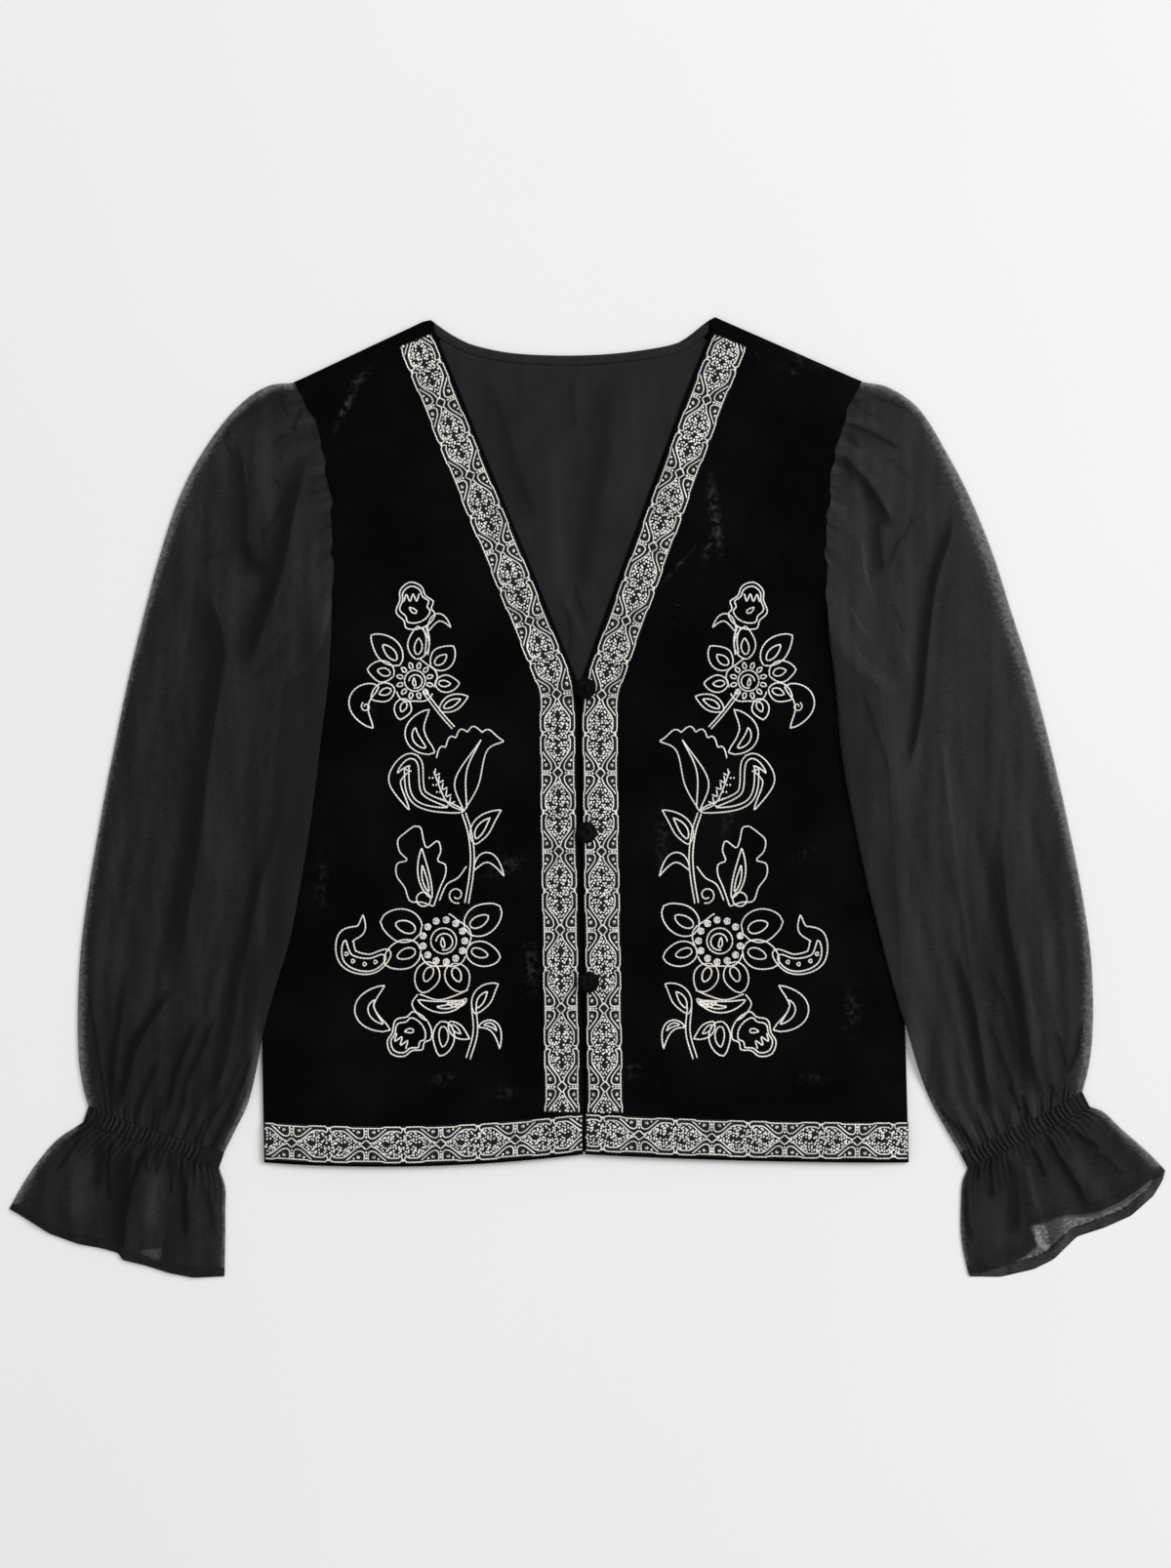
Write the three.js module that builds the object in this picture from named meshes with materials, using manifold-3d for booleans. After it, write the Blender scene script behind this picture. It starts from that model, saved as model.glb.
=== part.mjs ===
// A velvet blouse with sheer gathered sleeves, laid flat and face up.
// Millimetres, +Z up, +Y towards the neck. The underside rests on z = 0.
// "Right" and "left" are the wearer's: the right front lies at -X.
import * as THREE from "three";
import { mergeVertices } from "three/addons/utils/BufferGeometryUtils.js";
import Module from "manifold-3d";

// Cloth thicknesses and the clearances between the pieces
const VELVET = 1.5;
const SHEER = 1;
const LINING = 1;
const RIBBON = 1;
const SEAM_GAP = 0.3;
const REST_GAP = 0.6; // between a sleeve and the front that it lies on

// Bodice
const NECK_LIFT = 1.45; // how far the fronts stand off the back along the neck and the front edges
const LIFT_WIDTH = 30; // the fronts rise to that over this distance from the side seam
const SHOULDER_ROLL = 3.6; // height of the back where it rolls forward over the shoulder
const HEM_SAG = { right: 5.4, left: 1.6 }; // how far each front's hem bows below a straight line
const BACK_HEM_INSET = 2;

// Ribbon and closure
const RIBBON_WIDTH = 25;
const RIBBON_MARGIN = 2.7; // bare velvet between the ribbon and the front edge
const HEM_RIBBON_WIDTH = 26;
const HEM_MARGIN = 2.4;
const NECK_BAND = 7; // width of the facing round the back neck
const LINING_UNDERLAP = 9; // how far the lining runs on under the fronts
const BUTTON_RADIUS = 7.4;
const BUTTON_HEIGHT = 4.2;
const SHANK_RADIUS = 1.9;
const SHANK_HEIGHT = 1.7;
const BUTTON_INSET = 3.4; // from the left front's edge to the button's centre
const BUTTON_HEIGHTS_UP = [75.5, -24.5, -128.5]; // Y of each button's centre

// Sleeves
const EDGE_HEIGHT = 2.6; // over a sleeve's folded edges
const TALLEST = 5.9; // over its highest folds
const CASING_LENGTH = 11;
const CASING_GATHERS = 24;
const CASING_SMOOTH = 0.2; // share of the casing, at its seam, that has no gathers
const RAMP_FAR = 14; // a sleeve starts to climb this far from the bodice
const RAMP_NEAR = 4; // and is at the fronts' height this far from it
const CLIMB_FROM = 154; // Y above which a sleeve stays down, beside the armhole
const CLIMB_TO = 130;

const table = (names, rows) =>
  rows.map((row) => Object.fromEntries(names.map((name, i) => [name, row[i]])));

// From the hem up to the shoulder seam: the front edges, then the side seams and armholes.
const BODICE = table(
  ["edgeY", "rightEdge", "leftEdge", "sideY", "rightSide", "leftSide"],
  [
    [-248.6, -3.4, -1.9, -254.4, -225.4, 223.4],
    [-212.8, -2.7, -1.6, -216.2, -226.1, 222.4],
    [-158.4, -3.4, -2.5, -158.4, -226.8, 220.7],
    [-97.2, -4.1, -3.4, -93.8, -224.7, 217.3],
    [-36.0, -5.1, -4.4, -32.6, -221.3, 213.2],
    [21.8, -5.8, -5.1, 25.2, -217.3, 209.1],
    [59.2, -6.1, -5.4, 55.8, -213.9, 205.7],
    [78.9, -6.5, -5.2, 77.5, -211.1, 202.3],
    [101.0, -15.3, 2.4, 89.1, -196.9, 186.0],
    [129.0, -26.9, 12.6, 105.4, -185.3, 173.1],
    [157.8, -38.4, 23.1, 125.8, -178.8, 167.3],
    [197.2, -54.7, 37.4, 164.6, -177.8, 165.9],
    [238.7, -71.7, 52.4, 212.2, -179.9, 168.3],
    [281.0, -88.7, 68.0, 256.4, -188.7, 176.5],
    [328.4, -108.1, 87.0, 284.8, -201.6, 188.7],
  ],
);
const UNDERARM_ROW = 7;
const SHOULDER_TIP = { right: [-204.3, 289.0], left: [190.4, 289.6] };
const NECK_POINT = { right: [-110.5, 333.2], left: [87.4, 334.8] };

// The back neck, from the right neck point to the left one
const BACK_NECK = table(
  ["x", "y"],
  [
    [-110.5, 333.2],
    [-100.3, 325.7],
    [-91.5, 320.3],
    [-79.2, 314.8],
    [-52.7, 309.4],
    [-15.3, 307.7],
    [21.4, 309.4],
    [56.8, 314.8],
    [69.0, 320.3],
    [75.8, 325.7],
    [87.4, 334.8],
  ],
);

// Sections of each sleeve, from the armhole down to the elastic: its folded inner and outer
// edges, and how far the section bows towards the cuff.
const SECTION = ["inX", "inY", "outX", "outY", "bow"];
const SLEEVE = {
  right: table(SECTION, [
    [-178.8, 125.8, -204.3, 289.0, 0],
    [-178.5, 113.6, -224.7, 285.6, -7],
    [-179.2, 101.3, -245.8, 270.0, -5],
    [-179.9, 86.4, -267.6, 241.4, -3],
    [-181.9, 67.3, -284.6, 208.8, -1],
    [-185.3, 42.2, -298.2, 168.0, 0],
    [-188.7, 11.6, -309.1, 127.2, 0],
    [-193.5, -22.4, -319.3, 85.0, 0],
    [-199.6, -59.8, -330.1, 33.3, 0],
    [-207.7, -100.6, -339.7, -17.0, 0],
    [-218.6, -136.7, -347.8, -64.6, 1],
    [-226.1, -165.2, -353.3, -107.4, 2],
    [-230.9, -191.1, -355.3, -148.2, 3],
    [-237.0, -214.2, -354.6, -182.2, 3],
    [-244.5, -229.8, -351.2, -203.3, 2],
    [-253.3, -247.5, -347.8, -215.6, 1],
  ]),
  left: table(SECTION, [
    [167.3, 125.8, 190.4, 289.6, 0],
    [167.6, 113.6, 210.5, 284.9, -7],
    [169.0, 101.3, 231.5, 269.3, -5],
    [171.0, 86.4, 251.3, 237.3, -3],
    [173.1, 66.0, 267.6, 205.4, -1],
    [175.1, 40.8, 282.5, 168.0, 0],
    [179.2, 11.6, 295.5, 127.2, 0],
    [186.0, -22.4, 309.1, 85.0, 0],
    [194.1, -59.8, 322.7, 33.3, 0],
    [204.3, -100.6, 334.2, -17.0, 0],
    [213.9, -136.7, 343.7, -64.6, 1],
    [222.0, -162.5, 349.9, -105.4, 2],
    [230.2, -189.7, 351.9, -141.4, 3],
    [238.3, -210.8, 351.2, -169.3, 3],
    [248.5, -229.8, 348.5, -189.7, 2],
    [259.4, -248.2, 344.4, -205.4, 1],
  ]),
};

// Sections of each cuff ruffle below its first, which the casing gives
const RUFFLE = {
  right: table(SECTION, [
    [-252.6, -272.0, -368.9, -238.0, 0],
    [-252.6, -287.6, -381.1, -251.6, 0],
    [-252.6, -304.0, -390.7, -265.2, 0],
    [-253.0, -319.6, -397.5, -276.8, 0],
    [-253.3, -333.9, -402.9, -287.0, 0],
  ]),
  left: table(SECTION, [
    [260.8, -269.3, 359.4, -219.6, 0],
    [260.1, -284.9, 371.6, -231.2, 0],
    [260.1, -301.9, 383.2, -241.4, 0],
    [262.1, -318.2, 394.1, -251.6, 0],
    [266.2, -333.9, 402.2, -260.4, 0],
  ]),
};
// How far each cuff's hem reaches beyond its last section's straight line
const HEM_REACH = {
  right: table(["v", "reach"], [
    [0, 0],
    [0.13, 7.5],
    [0.24, 9.4],
    [0.35, 9.3],
    [0.46, 10.5],
    [0.475, 6.6],
    [0.56, 7.0],
    [0.66, 9.0],
    [0.8, 8.1],
    [0.95, 1.8],
    [1, 0],
  ]),
  left: table(["v", "reach"], [
    [0, 0],
    [0.12, 10.4],
    [0.27, 16.8],
    [0.37, 17.3],
    [0.44, 14.1],
    [0.51, 11.0],
    [0.64, 14.7],
    [0.77, 16.2],
    [0.9, 11.4],
    [0.97, 5.0],
    [1, 0],
  ]),
};
// How much shorter each cuff's upper layer hangs than its lower one
const CUFF_SHORT = { right: 4, left: 15 };

// The long soft folds of each sleeve: where across it (0 the inner edge, 1 the outer) they start
// and end, how far down it they run, and how wide and how high they are.
const FOLD = ["vFrom", "vTo", "sFrom", "sTo", "width", "rise"];
const SLEEVE_FOLDS = {
  right: table(FOLD, [
    [0.62, 0.44, 0.0, 0.42, 0.09, 1.6],
    [0.72, 0.56, 0.1, 0.8, 0.08, -1.5],
    [0.34, 0.4, 0.3, 1.0, 0.1, 1.2],
    [0.14, 0.3, 0.35, 1.0, 0.07, -1.2],
    [0.82, 0.76, 0.25, 1.0, 0.09, 1.1],
    [0.92, 0.9, 0.0, 0.5, 0.06, -0.9],
    [0.16, 0.14, 0.0, 0.6, 0.1, 0.9],
  ]),
  left: table(FOLD, [
    [0.5, 0.34, 0.0, 0.4, 0.08, -1.6],
    [0.3, 0.46, 0.3, 1.0, 0.09, 1.3],
    [0.66, 0.7, 0.2, 1.0, 0.1, 1.3],
    [0.56, 0.58, 0.3, 1.0, 0.07, -1.2],
    [0.86, 0.86, 0.1, 0.95, 0.07, -1.0],
    [0.18, 0.2, 0.1, 0.9, 0.1, 1.0],
    [0.74, 0.6, 0.0, 0.3, 0.08, 1.4],
  ]),
};

// The broad waves of each cuff ruffle, across it
const WAVE = ["v", "width", "rise"];
const RUFFLE_WAVES = {
  right: table(WAVE, [
    [0.12, 0.07, 1.6],
    [0.3, 0.08, -1.2],
    [0.47, 0.05, 2.4],
    [0.66, 0.09, -1.1],
    [0.82, 0.07, 1.5],
  ]),
  left: table(WAVE, [
    [0.14, 0.07, 1.7],
    [0.3, 0.07, -1.2],
    [0.46, 0.08, 1.6],
    [0.62, 0.06, -1.3],
    [0.8, 0.08, 1.8],
  ]),
};
const SIDES = { right: -1, left: 1 };
const wasm = await Module();
wasm.setup();

const clamp = (t) => Math.min(1, Math.max(0, t));
const smooth = (t) => clamp(t) * clamp(t) * (3 - 2 * clamp(t));
const mix = (a, b, t) => a + (b - a) * t;
const bell = (t) => Math.exp(-t * t);

const fabric = (color, roughness) =>
  new THREE.MeshStandardMaterial({ color, roughness, metalness: 0, side: THREE.DoubleSide });
const MATERIALS = {
  velvet: fabric(0x0b0b0c, 0.95),
  sheer: fabric(0x2a2b2e, 0.6),
  lining: fabric(0x2c2d30, 0.7),
  ribbon: new THREE.MeshStandardMaterial({ color: 0x9b9a94, roughness: 0.45, metalness: 0.4 }),
  button: fabric(0x0e0e10, 0.9),
};

// A closed mesh from points and triangles, turned to face outwards
function closedMesh(points, faces) {
  const flat = new THREE.Vector3();
  const volume = faces.reduce((sum, [a, b, c]) => {
    return sum + flat.crossVectors(points[b], points[c]).dot(points[a]);
  }, 0);
  const facing = volume < 0 ? faces.map(([a, b, c]) => [a, c, b]) : faces;
  const geometry = new THREE.BufferGeometry().setFromPoints(points);
  geometry.setIndex(facing.flat());
  geometry.computeVertexNormals();
  return geometry;
}

const quad = (a, b, c, d) => [
  [a, b, c],
  [a, c, d],
];

// A sheet of cloth with thickness: rows of points on its top, and the same points underneath.
function slab(top, thickness) {
  const rows = top.length;
  const columns = top[0].length;
  const count = rows * columns;
  const points = top.flat();
  top.flat().forEach((p) => points.push(new THREE.Vector3(p.x, p.y, p.z - thickness)));
  const at = (r, c, under = 0) => r * columns + c + under * count;
  const faces = [];
  for (let r = 0; r + 1 < rows; r++)
    for (let c = 0; c + 1 < columns; c++) {
      faces.push(...quad(at(r, c), at(r, c + 1), at(r + 1, c + 1), at(r + 1, c)));
      faces.push(...quad(at(r, c, 1), at(r + 1, c, 1), at(r + 1, c + 1, 1), at(r, c + 1, 1)));
    }
  for (let c = 0; c + 1 < columns; c++) {
    faces.push(...quad(at(0, c, 1), at(0, c + 1, 1), at(0, c + 1), at(0, c)));
    const r = rows - 1;
    faces.push(...quad(at(r, c), at(r, c + 1), at(r, c + 1, 1), at(r, c, 1)));
  }
  for (let r = 0; r + 1 < rows; r++) {
    faces.push(...quad(at(r, 0), at(r + 1, 0), at(r + 1, 0, 1), at(r, 0, 1)));
    const c = columns - 1;
    faces.push(...quad(at(r, c, 1), at(r + 1, c, 1), at(r + 1, c), at(r, c)));
  }
  return closedMesh(points, faces);
}

// An open tube with a wall: rings of outer points, and as many inner points in each.
function tube(rings) {
  const size = rings[0].outer.length;
  const points = rings.flatMap((ring) => [...ring.outer, ...ring.inner]);
  const at = (r, i, inner = 0) => (2 * r + inner) * size + (i % size);
  const faces = [];
  for (let r = 0; r + 1 < rings.length; r++)
    for (let i = 0; i < size; i++) {
      faces.push(...quad(at(r, i), at(r, i + 1), at(r + 1, i + 1), at(r + 1, i)));
      faces.push(...quad(at(r, i, 1), at(r + 1, i, 1), at(r + 1, i + 1, 1), at(r, i + 1, 1)));
    }
  const last = rings.length - 1;
  for (let i = 0; i < size; i++) {
    faces.push(...quad(at(0, i, 1), at(0, i + 1, 1), at(0, i + 1), at(0, i)));
    faces.push(...quad(at(last, i), at(last, i + 1), at(last, i + 1, 1), at(last, i, 1)));
  }
  return closedMesh(points, faces);
}

// The bodice's outer edge from the hem up: side seam, armhole, shoulder tip
const outerEdge = (side) => [
  ...BODICE.slice(0, -1).map((row) => [row[side + "Side"], row.sideY]),
  SHOULDER_TIP[side],
];

// Where that edge lies at a height
function sideX(side, y) {
  const edge = outerEdge(side);
  const next = edge.findIndex((point) => point[1] >= y);
  if (next === 0) return edge[0][0];
  if (next < 0) return edge.at(-1)[0];
  const [a, b] = [edge[next - 1], edge[next]];
  return mix(a[0], b[0], (y - a[1]) / (b[1] - a[1]));
}

// How far inside the bodice's outer edge a point is
const insideBy = (side, x, y) => (sideX(side, y) - x) * SIDES[side];

// The top of a front at a point: down at the side seam, and up along the neck and front edge.
function frontTop(side, x, y) {
  const rise = NECK_LIFT * smooth(insideBy(side, x, y) / LIFT_WIDTH);
  return VELVET + SEAM_GAP + rise + VELVET;
}

// A front's points along one line, from its front edge to its side
const FRONT_COLUMNS = [0, 0.13, 0.3, 0.48, 0.66, 0.8, 0.88, 0.94, 1];
function frontPoint(side, row, u) {
  const sag = row === BODICE[0] ? HEM_SAG[side] * 4 * u * (1 - u) : 0;
  const x = mix(row[side + "Edge"], row[side + "Side"], u);
  const y = mix(row.edgeY, row.sideY, u) - sag;
  return new THREE.Vector3(x, y, frontTop(side, x, y));
}

function front(side) {
  const top = BODICE.map((row) => FRONT_COLUMNS.map((u) => frontPoint(side, row, u)));
  return slab(top, VELVET);
}

// The front edge from the hem to the neck point, with the direction into the panel
function frontEdge(side) {
  const points = BODICE.map((row) => new THREE.Vector2(row[side + "Edge"], row.edgeY));
  return points.map((point, i) => {
    const before = points[Math.max(0, i - 1)];
    const after = points[Math.min(points.length - 1, i + 1)];
    const along = after.clone().sub(before).normalize();
    return { point, inward: new THREE.Vector2(along.y, -along.x).multiplyScalar(SIDES[side]) };
  });
}

const RIBBON_COLUMNS = [0, 0.5, 1];
function ribbonRow(side, point, inward, margin, width) {
  return RIBBON_COLUMNS.map((c) => {
    const p = point.clone().addScaledVector(inward, margin + width * c);
    return new THREE.Vector3(p.x, p.y, frontTop(side, p.x, p.y) + SEAM_GAP + RIBBON);
  });
}

// The ribbon down a front: it starts above the hem ribbon and stops short of the shoulder seam.
function edgeRibbon(side) {
  const edge = frontEdge(side);
  const hemTop = edge[0].point.y + HEM_MARGIN + HEM_RIBBON_WIDTH + 2 * SEAM_GAP;
  const rows = edge.map(({ point, inward }) => ({ point: point.clone(), inward }));
  rows[0].point.lerp(rows[1].point, (hemTop - rows[0].point.y) / (rows[1].point.y - rows[0].point.y));
  rows[0].inward = new THREE.Vector2(SIDES[side], 0);
  const last = rows.length - 1;
  rows[last].point.lerp(rows[last - 1].point, 0.1);
  return slab(
    rows.map((row) => ribbonRow(side, row.point, row.inward, RIBBON_MARGIN, RIBBON_WIDTH)),
    RIBBON,
  );
}

// The ribbon along a front's hem, on the panel's own columns
function hemRibbon(side) {
  const columns = [0.004, ...FRONT_COLUMNS.slice(1, -1), 0.998];
  const up = new THREE.Vector2(0, 1);
  const rows = columns.map((u) => {
    const p = frontPoint(side, BODICE[0], u);
    return ribbonRow(side, new THREE.Vector2(p.x, p.y), up, HEM_MARGIN, HEM_RIBBON_WIDTH);
  });
  return slab(rows, RIBBON);
}

const plate = (points, depth, z) => {
  const shape = new THREE.Shape(points.map(([x, y]) => new THREE.Vector2(x, y)));
  const geometry = new THREE.ExtrudeGeometry(shape, { depth, bevelEnabled: false });
  return geometry.translate(0, 0, z);
};

function toSolid(geometry) {
  const bare = new THREE.BufferGeometry().setAttribute("position", geometry.getAttribute("position"));
  if (geometry.index) bare.setIndex(geometry.index);
  const merged = mergeVertices(bare, 1e-4);
  return new wasm.Manifold(
    new wasm.Mesh({
      numProp: 3,
      vertProperties: merged.attributes.position.array,
      triVerts: new Uint32Array(merged.index.array),
    }),
  );
}

function toGeometry(solid) {
  const mesh = solid.getMesh();
  const geometry = new THREE.BufferGeometry();
  geometry.setAttribute("position", new THREE.BufferAttribute(mesh.vertProperties, 3));
  geometry.setIndex(new THREE.BufferAttribute(mesh.triVerts, 1));
  geometry.computeVertexNormals();
  return geometry;
}

// The back panel, flat on the ground, with each shoulder rolled forward to meet the front.
function back() {
  const hem = [0.25, 0.5, 0.75, 1].map((u) => frontPoint("left", BODICE[0], u));
  const hemRight = [1, 0.75, 0.5, 0.25].map((u) => frontPoint("right", BODICE[0], u));
  const outline = [
    ...[...hemRight, ...hem].map((p) => [p.x, p.y + BACK_HEM_INSET]),
    ...outerEdge("left").slice(1),
    ...BACK_NECK.map(({ x, y }) => [x, y]).reverse(),
    ...outerEdge("right").slice(1).reverse(),
  ];
  const top = BODICE.at(-1);
  const roll = (side) => {
    const gap = SEAM_GAP + 0.2;
    return plate(
      [
        NECK_POINT[side],
        SHOULDER_TIP[side],
        [top[side + "Side"], top.sideY + gap],
        [top[side + "Edge"], top.edgeY + gap],
      ],
      SHOULDER_ROLL,
      0,
    );
  };
  const rolls = ["right", "left"].map((side) => toSolid(roll(side)));
  return toGeometry(rolls.reduce((sum, one) => sum.add(one), toSolid(plate(outline, VELVET, 0))));
}

// A line beside the back neck, that far into the cloth, between the two front edges
function neckLine(depth, from, to) {
  const curve = new THREE.CatmullRomCurve3(BACK_NECK.map(({ x, y }) => new THREE.Vector3(x, y, 0)));
  const steps = 12;
  return Array.from({ length: steps + 1 }, (_, i) => {
    const t = mix(from, to, i / steps);
    const along = curve.getTangentAt(t);
    const p = curve.getPointAt(t);
    return [p.x + along.y * depth, p.y - along.x * depth];
  });
}

// The facing that finishes the back neck, beside the lining
function neckFacing() {
  const edge = neckLine(0.4, 0.06, 0.94);
  const inner = neckLine(NECK_BAND, 0.1, 0.9).reverse();
  return plate([...edge, ...inner], LINING, VELVET + SEAM_GAP);
}

// The part of the back's lining that shows in the neckline, with what runs on under the fronts
function backLining() {
  const neck = neckLine(NECK_BAND + SEAM_GAP, 0.1, 0.9);
  const under = (side) =>
    frontEdge(side)
      .slice(UNDERARM_ROW, -1)
      .map(({ point, inward }) => {
        const p = point.clone().addScaledVector(inward, LINING_UNDERLAP);
        return [p.x, p.y];
      });
  return plate(
    [...neck, ...under("left").reverse(), ...under("right")],
    LINING,
    VELVET + SEAM_GAP,
  );
}

// How far a sleeve climbs at a point to lie on the bodice, from 0 to 1
function climb(side, x, y) {
  const near = clamp((insideBy(side, x, y) + RAMP_FAR) / (RAMP_FAR - RAMP_NEAR));
  return near * clamp((CLIMB_FROM - y) / (CLIMB_FROM - CLIMB_TO));
}
const ground = (side, x, y) => climb(side, x, y) * (frontTop(side, x, y) + REST_GAP);

// The plan position on a section: v runs from its inner edge to its outer edge, and reach is
// how far the point lies down the sleeve from the section's own line.
function sectionPoint(side, row, v, reach = 0) {
  const along = new THREE.Vector2(row.outX - row.inX, row.outY - row.inY);
  const length = along.length();
  const down = new THREE.Vector2(along.y, -along.x).multiplyScalar(SIDES[side] / length);
  return new THREE.Vector2(row.inX, row.inY)
    .addScaledVector(along, v)
    .addScaledVector(down, row.bow * 4 * v * (1 - v) + reach);
}

// The armhole's own line, just outside the bodice, which a sleeve's first section follows
function armholePoint(side, row, v) {
  const y = mix(row.inY, row.outY, v);
  return new THREE.Vector2(sideX(side, y) + SIDES[side] * (SEAM_GAP + 0.1), y);
}

// One ring of a flattened tube of sheer cloth: its upper layer from the inner edge to the outer,
// a rounded fold, its lower layer back, and the other fold.
function ring(side, row, { upper, lower, place, height, floor }) {
  const length = Math.hypot(row.outX - row.inX, row.outY - row.inY);
  const layer = (inset) => {
    const points = [];
    const shrink = inset / length;
    const add = (v, column, up, round = 0) => {
      const w = mix(shrink, 1 - shrink, v) + round / length;
      const p = place(row, w, up);
      const base = floor(p.x, p.y);
      const tall = height(v, column);
      const z = { 1: base + tall - inset, 0: base + inset, 0.5: base + tall / 2 }[up];
      points.push(new THREE.Vector3(p.x, p.y, z));
    };
    const bulge = inset ? 0 : SHEER / 2;
    upper.forEach((v, i) => add(v, i, 1));
    add(1, 0, 0.5, bulge);
    lower.toReversed().forEach((v) => add(v, 0, 0));
    add(0, 0, 0.5, -bulge);
    return points;
  };
  return { outer: layer(0), inner: layer(SHEER) };
}

const evenly = (count) => Array.from({ length: count + 1 }, (_, i) => i / count);

// Soft folds summed at a place on a sleeve
function foldHeight(folds, s, v) {
  return folds.reduce((sum, f) => {
    const t = (s - f.sFrom) / (f.sTo - f.sFrom);
    if (t <= 0 || t >= 1) return sum;
    return sum + f.rise * Math.sin(Math.PI * t) * bell((v - mix(f.vFrom, f.vTo, t)) / f.width);
  }, 0);
}

const SLEEVE_COLUMNS = 34;
const GATHER = 0.75; // height of the gathers at the armhole and above the elastic
function sleeve(side) {
  const rows = SLEEVE[side];
  const upper = evenly(SLEEVE_COLUMNS);
  const rings = rows.map((row, r) => {
    const s = r / (rows.length - 1);
    const place = (at, v) => (r === 0 ? armholePoint(side, at, v) : sectionPoint(side, at, v));
    // Where along this section the sleeve is up on the bodice, and where it is down again
    const level = evenly(200).map((v) => {
      const p = place(row, v);
      return climb(side, p.x, p.y);
    });
    const lastUp = Math.max(0.03, level.findLastIndex((c) => c > 0.99) / 200);
    const down = Math.max(lastUp + 0.04, (level.findLastIndex((c) => c > 0.01) + 1) / 200);
    const lower = [0, lastUp * 0.5, lastUp, ...evenly(8).map((t) => mix(down, 1, t))];
    const atArmhole = clamp(1 - s / 0.2);
    const atElastic = clamp((s - 0.78) / 0.22);
    const height = (v, column) => {
      const dome = EDGE_HEIGHT + 1.3 * (1 - (2 * v - 1) ** 4);
      const zigzag = column % 2 ? 1 : -1;
      const cap = atArmhole * smooth((v - 0.2) / 0.15) * GATHER * zigzag;
      const wrist = atElastic * GATHER * zigzag * smooth(v / 0.1);
      const inside = smooth(v / 0.06) * smooth((1 - v) / 0.06);
      const total = dome + inside * (foldHeight(SLEEVE_FOLDS[side], s, v) + cap + wrist);
      return Math.min(TALLEST, Math.max(EDGE_HEIGHT - 0.2, total));
    };
    return ring(side, row, { upper, lower, place, height, floor: (x, y) => ground(side, x, y) });
  });
  return tube(rings);
}

// A section moved down the sleeve
function movedRow(side, row, distance) {
  const [from, to] = [0, 1].map((v) => sectionPoint(side, row, v, distance));
  return { inX: from.x, inY: from.y, outX: to.x, outY: to.y, bow: row.bow };
}

const flatFloor = () => 0;

// The elastic casing at the wrist, gathered all along but for a smooth stretch at its seam
function casing(side) {
  const start = SLEEVE[side].at(-1);
  const upper = evenly(2 * CASING_GATHERS);
  const height = (bulge) => (v, column) => {
    const gathered = smooth((v - CASING_SMOOTH) / 0.04) * smooth((1 - v) / 0.03);
    return EDGE_HEIGHT + bulge + gathered * (0.6 + 0.55 * (column % 2 ? 1 : -1));
  };
  const rings = [0, 0.5, 1].map((t) =>
    ring(side, movedRow(side, start, SEAM_GAP + CASING_LENGTH * t), {
      upper,
      lower: evenly(6),
      place: (row, v) => sectionPoint(side, row, v),
      height: height(t === 0.5 ? 0.7 : 0),
      floor: flatFloor,
    }),
  );
  return tube(rings);
}

// How far a point of a cuff lies beyond its section's straight line
function hemReach(side, s, v, up) {
  const rows = HEM_REACH[side];
  const next = Math.max(1, rows.findIndex((row) => row.v >= v));
  const [a, b] = [rows[next - 1], rows[next]];
  const reach = v >= 1 ? 0 : mix(a.reach, b.reach, clamp((v - a.v) / (b.v - a.v)));
  const short = up === 0 ? 0 : CUFF_SHORT[side] * Math.sin(Math.PI * clamp(v)) ** 0.7;
  return s * (reach - short);
}

const RUFFLE_COLUMNS = 36;
function ruffle(side) {
  const gap = 2 * SEAM_GAP + CASING_LENGTH;
  const rows = [movedRow(side, SLEEVE[side].at(-1), gap), ...RUFFLE[side]];
  const rings = rows.map((row, r) => {
    const s = r / (rows.length - 1);
    const height = (v, column) => {
      const dome = EDGE_HEIGHT + 0.9 * (1 - (2 * v - 1) ** 4);
      const waves = RUFFLE_WAVES[side].reduce(
        (sum, w) => sum + w.rise * smooth(s * 1.6) * bell((v - w.v) / w.width),
        0,
      );
      const gathers = clamp(1 - s / 0.6) * 0.6 * (column % 2 ? 1 : -1);
      const inside = smooth(v / 0.05) * smooth((1 - v) / 0.05);
      return Math.min(TALLEST, Math.max(EDGE_HEIGHT - 0.2, dome + inside * (waves + gathers)));
    };
    return ring(side, row, {
      upper: evenly(RUFFLE_COLUMNS),
      lower: evenly(12),
      place: (at, v, up) => sectionPoint(side, at, v, hemReach(side, s, v, up)),
      height,
      floor: flatFloor,
    });
  });
  return tube(rings);
}

// Where each button stands: on the left front's ribbon, near its edge
function buttonPlace(y) {
  const rows = BODICE;
  const next = rows.findIndex((row) => row.edgeY >= y);
  const [a, b] = [rows[next - 1], rows[next]];
  const x = mix(a.leftEdge, b.leftEdge, (y - a.edgeY) / (b.edgeY - a.edgeY)) + BUTTON_INSET;
  return new THREE.Vector3(x, y, frontTop("left", x, y) + SEAM_GAP + RIBBON + SEAM_GAP);
}

function button() {
  const crown = SHANK_HEIGHT + BUTTON_HEIGHT;
  const profile = [
    [0, 0],
    [SHANK_RADIUS, 0],
    [SHANK_RADIUS, SHANK_HEIGHT],
    [BUTTON_RADIUS * 0.86, SHANK_HEIGHT],
    [BUTTON_RADIUS, SHANK_HEIGHT + BUTTON_HEIGHT * 0.3],
    [BUTTON_RADIUS * 0.92, SHANK_HEIGHT + BUTTON_HEIGHT * 0.62],
    [BUTTON_RADIUS * 0.6, SHANK_HEIGHT + BUTTON_HEIGHT * 0.92],
    [0, crown],
  ].map(([x, y]) => new THREE.Vector2(x, y));
  return new THREE.LatheGeometry(profile, 18).rotateX(Math.PI / 2);
}

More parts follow.
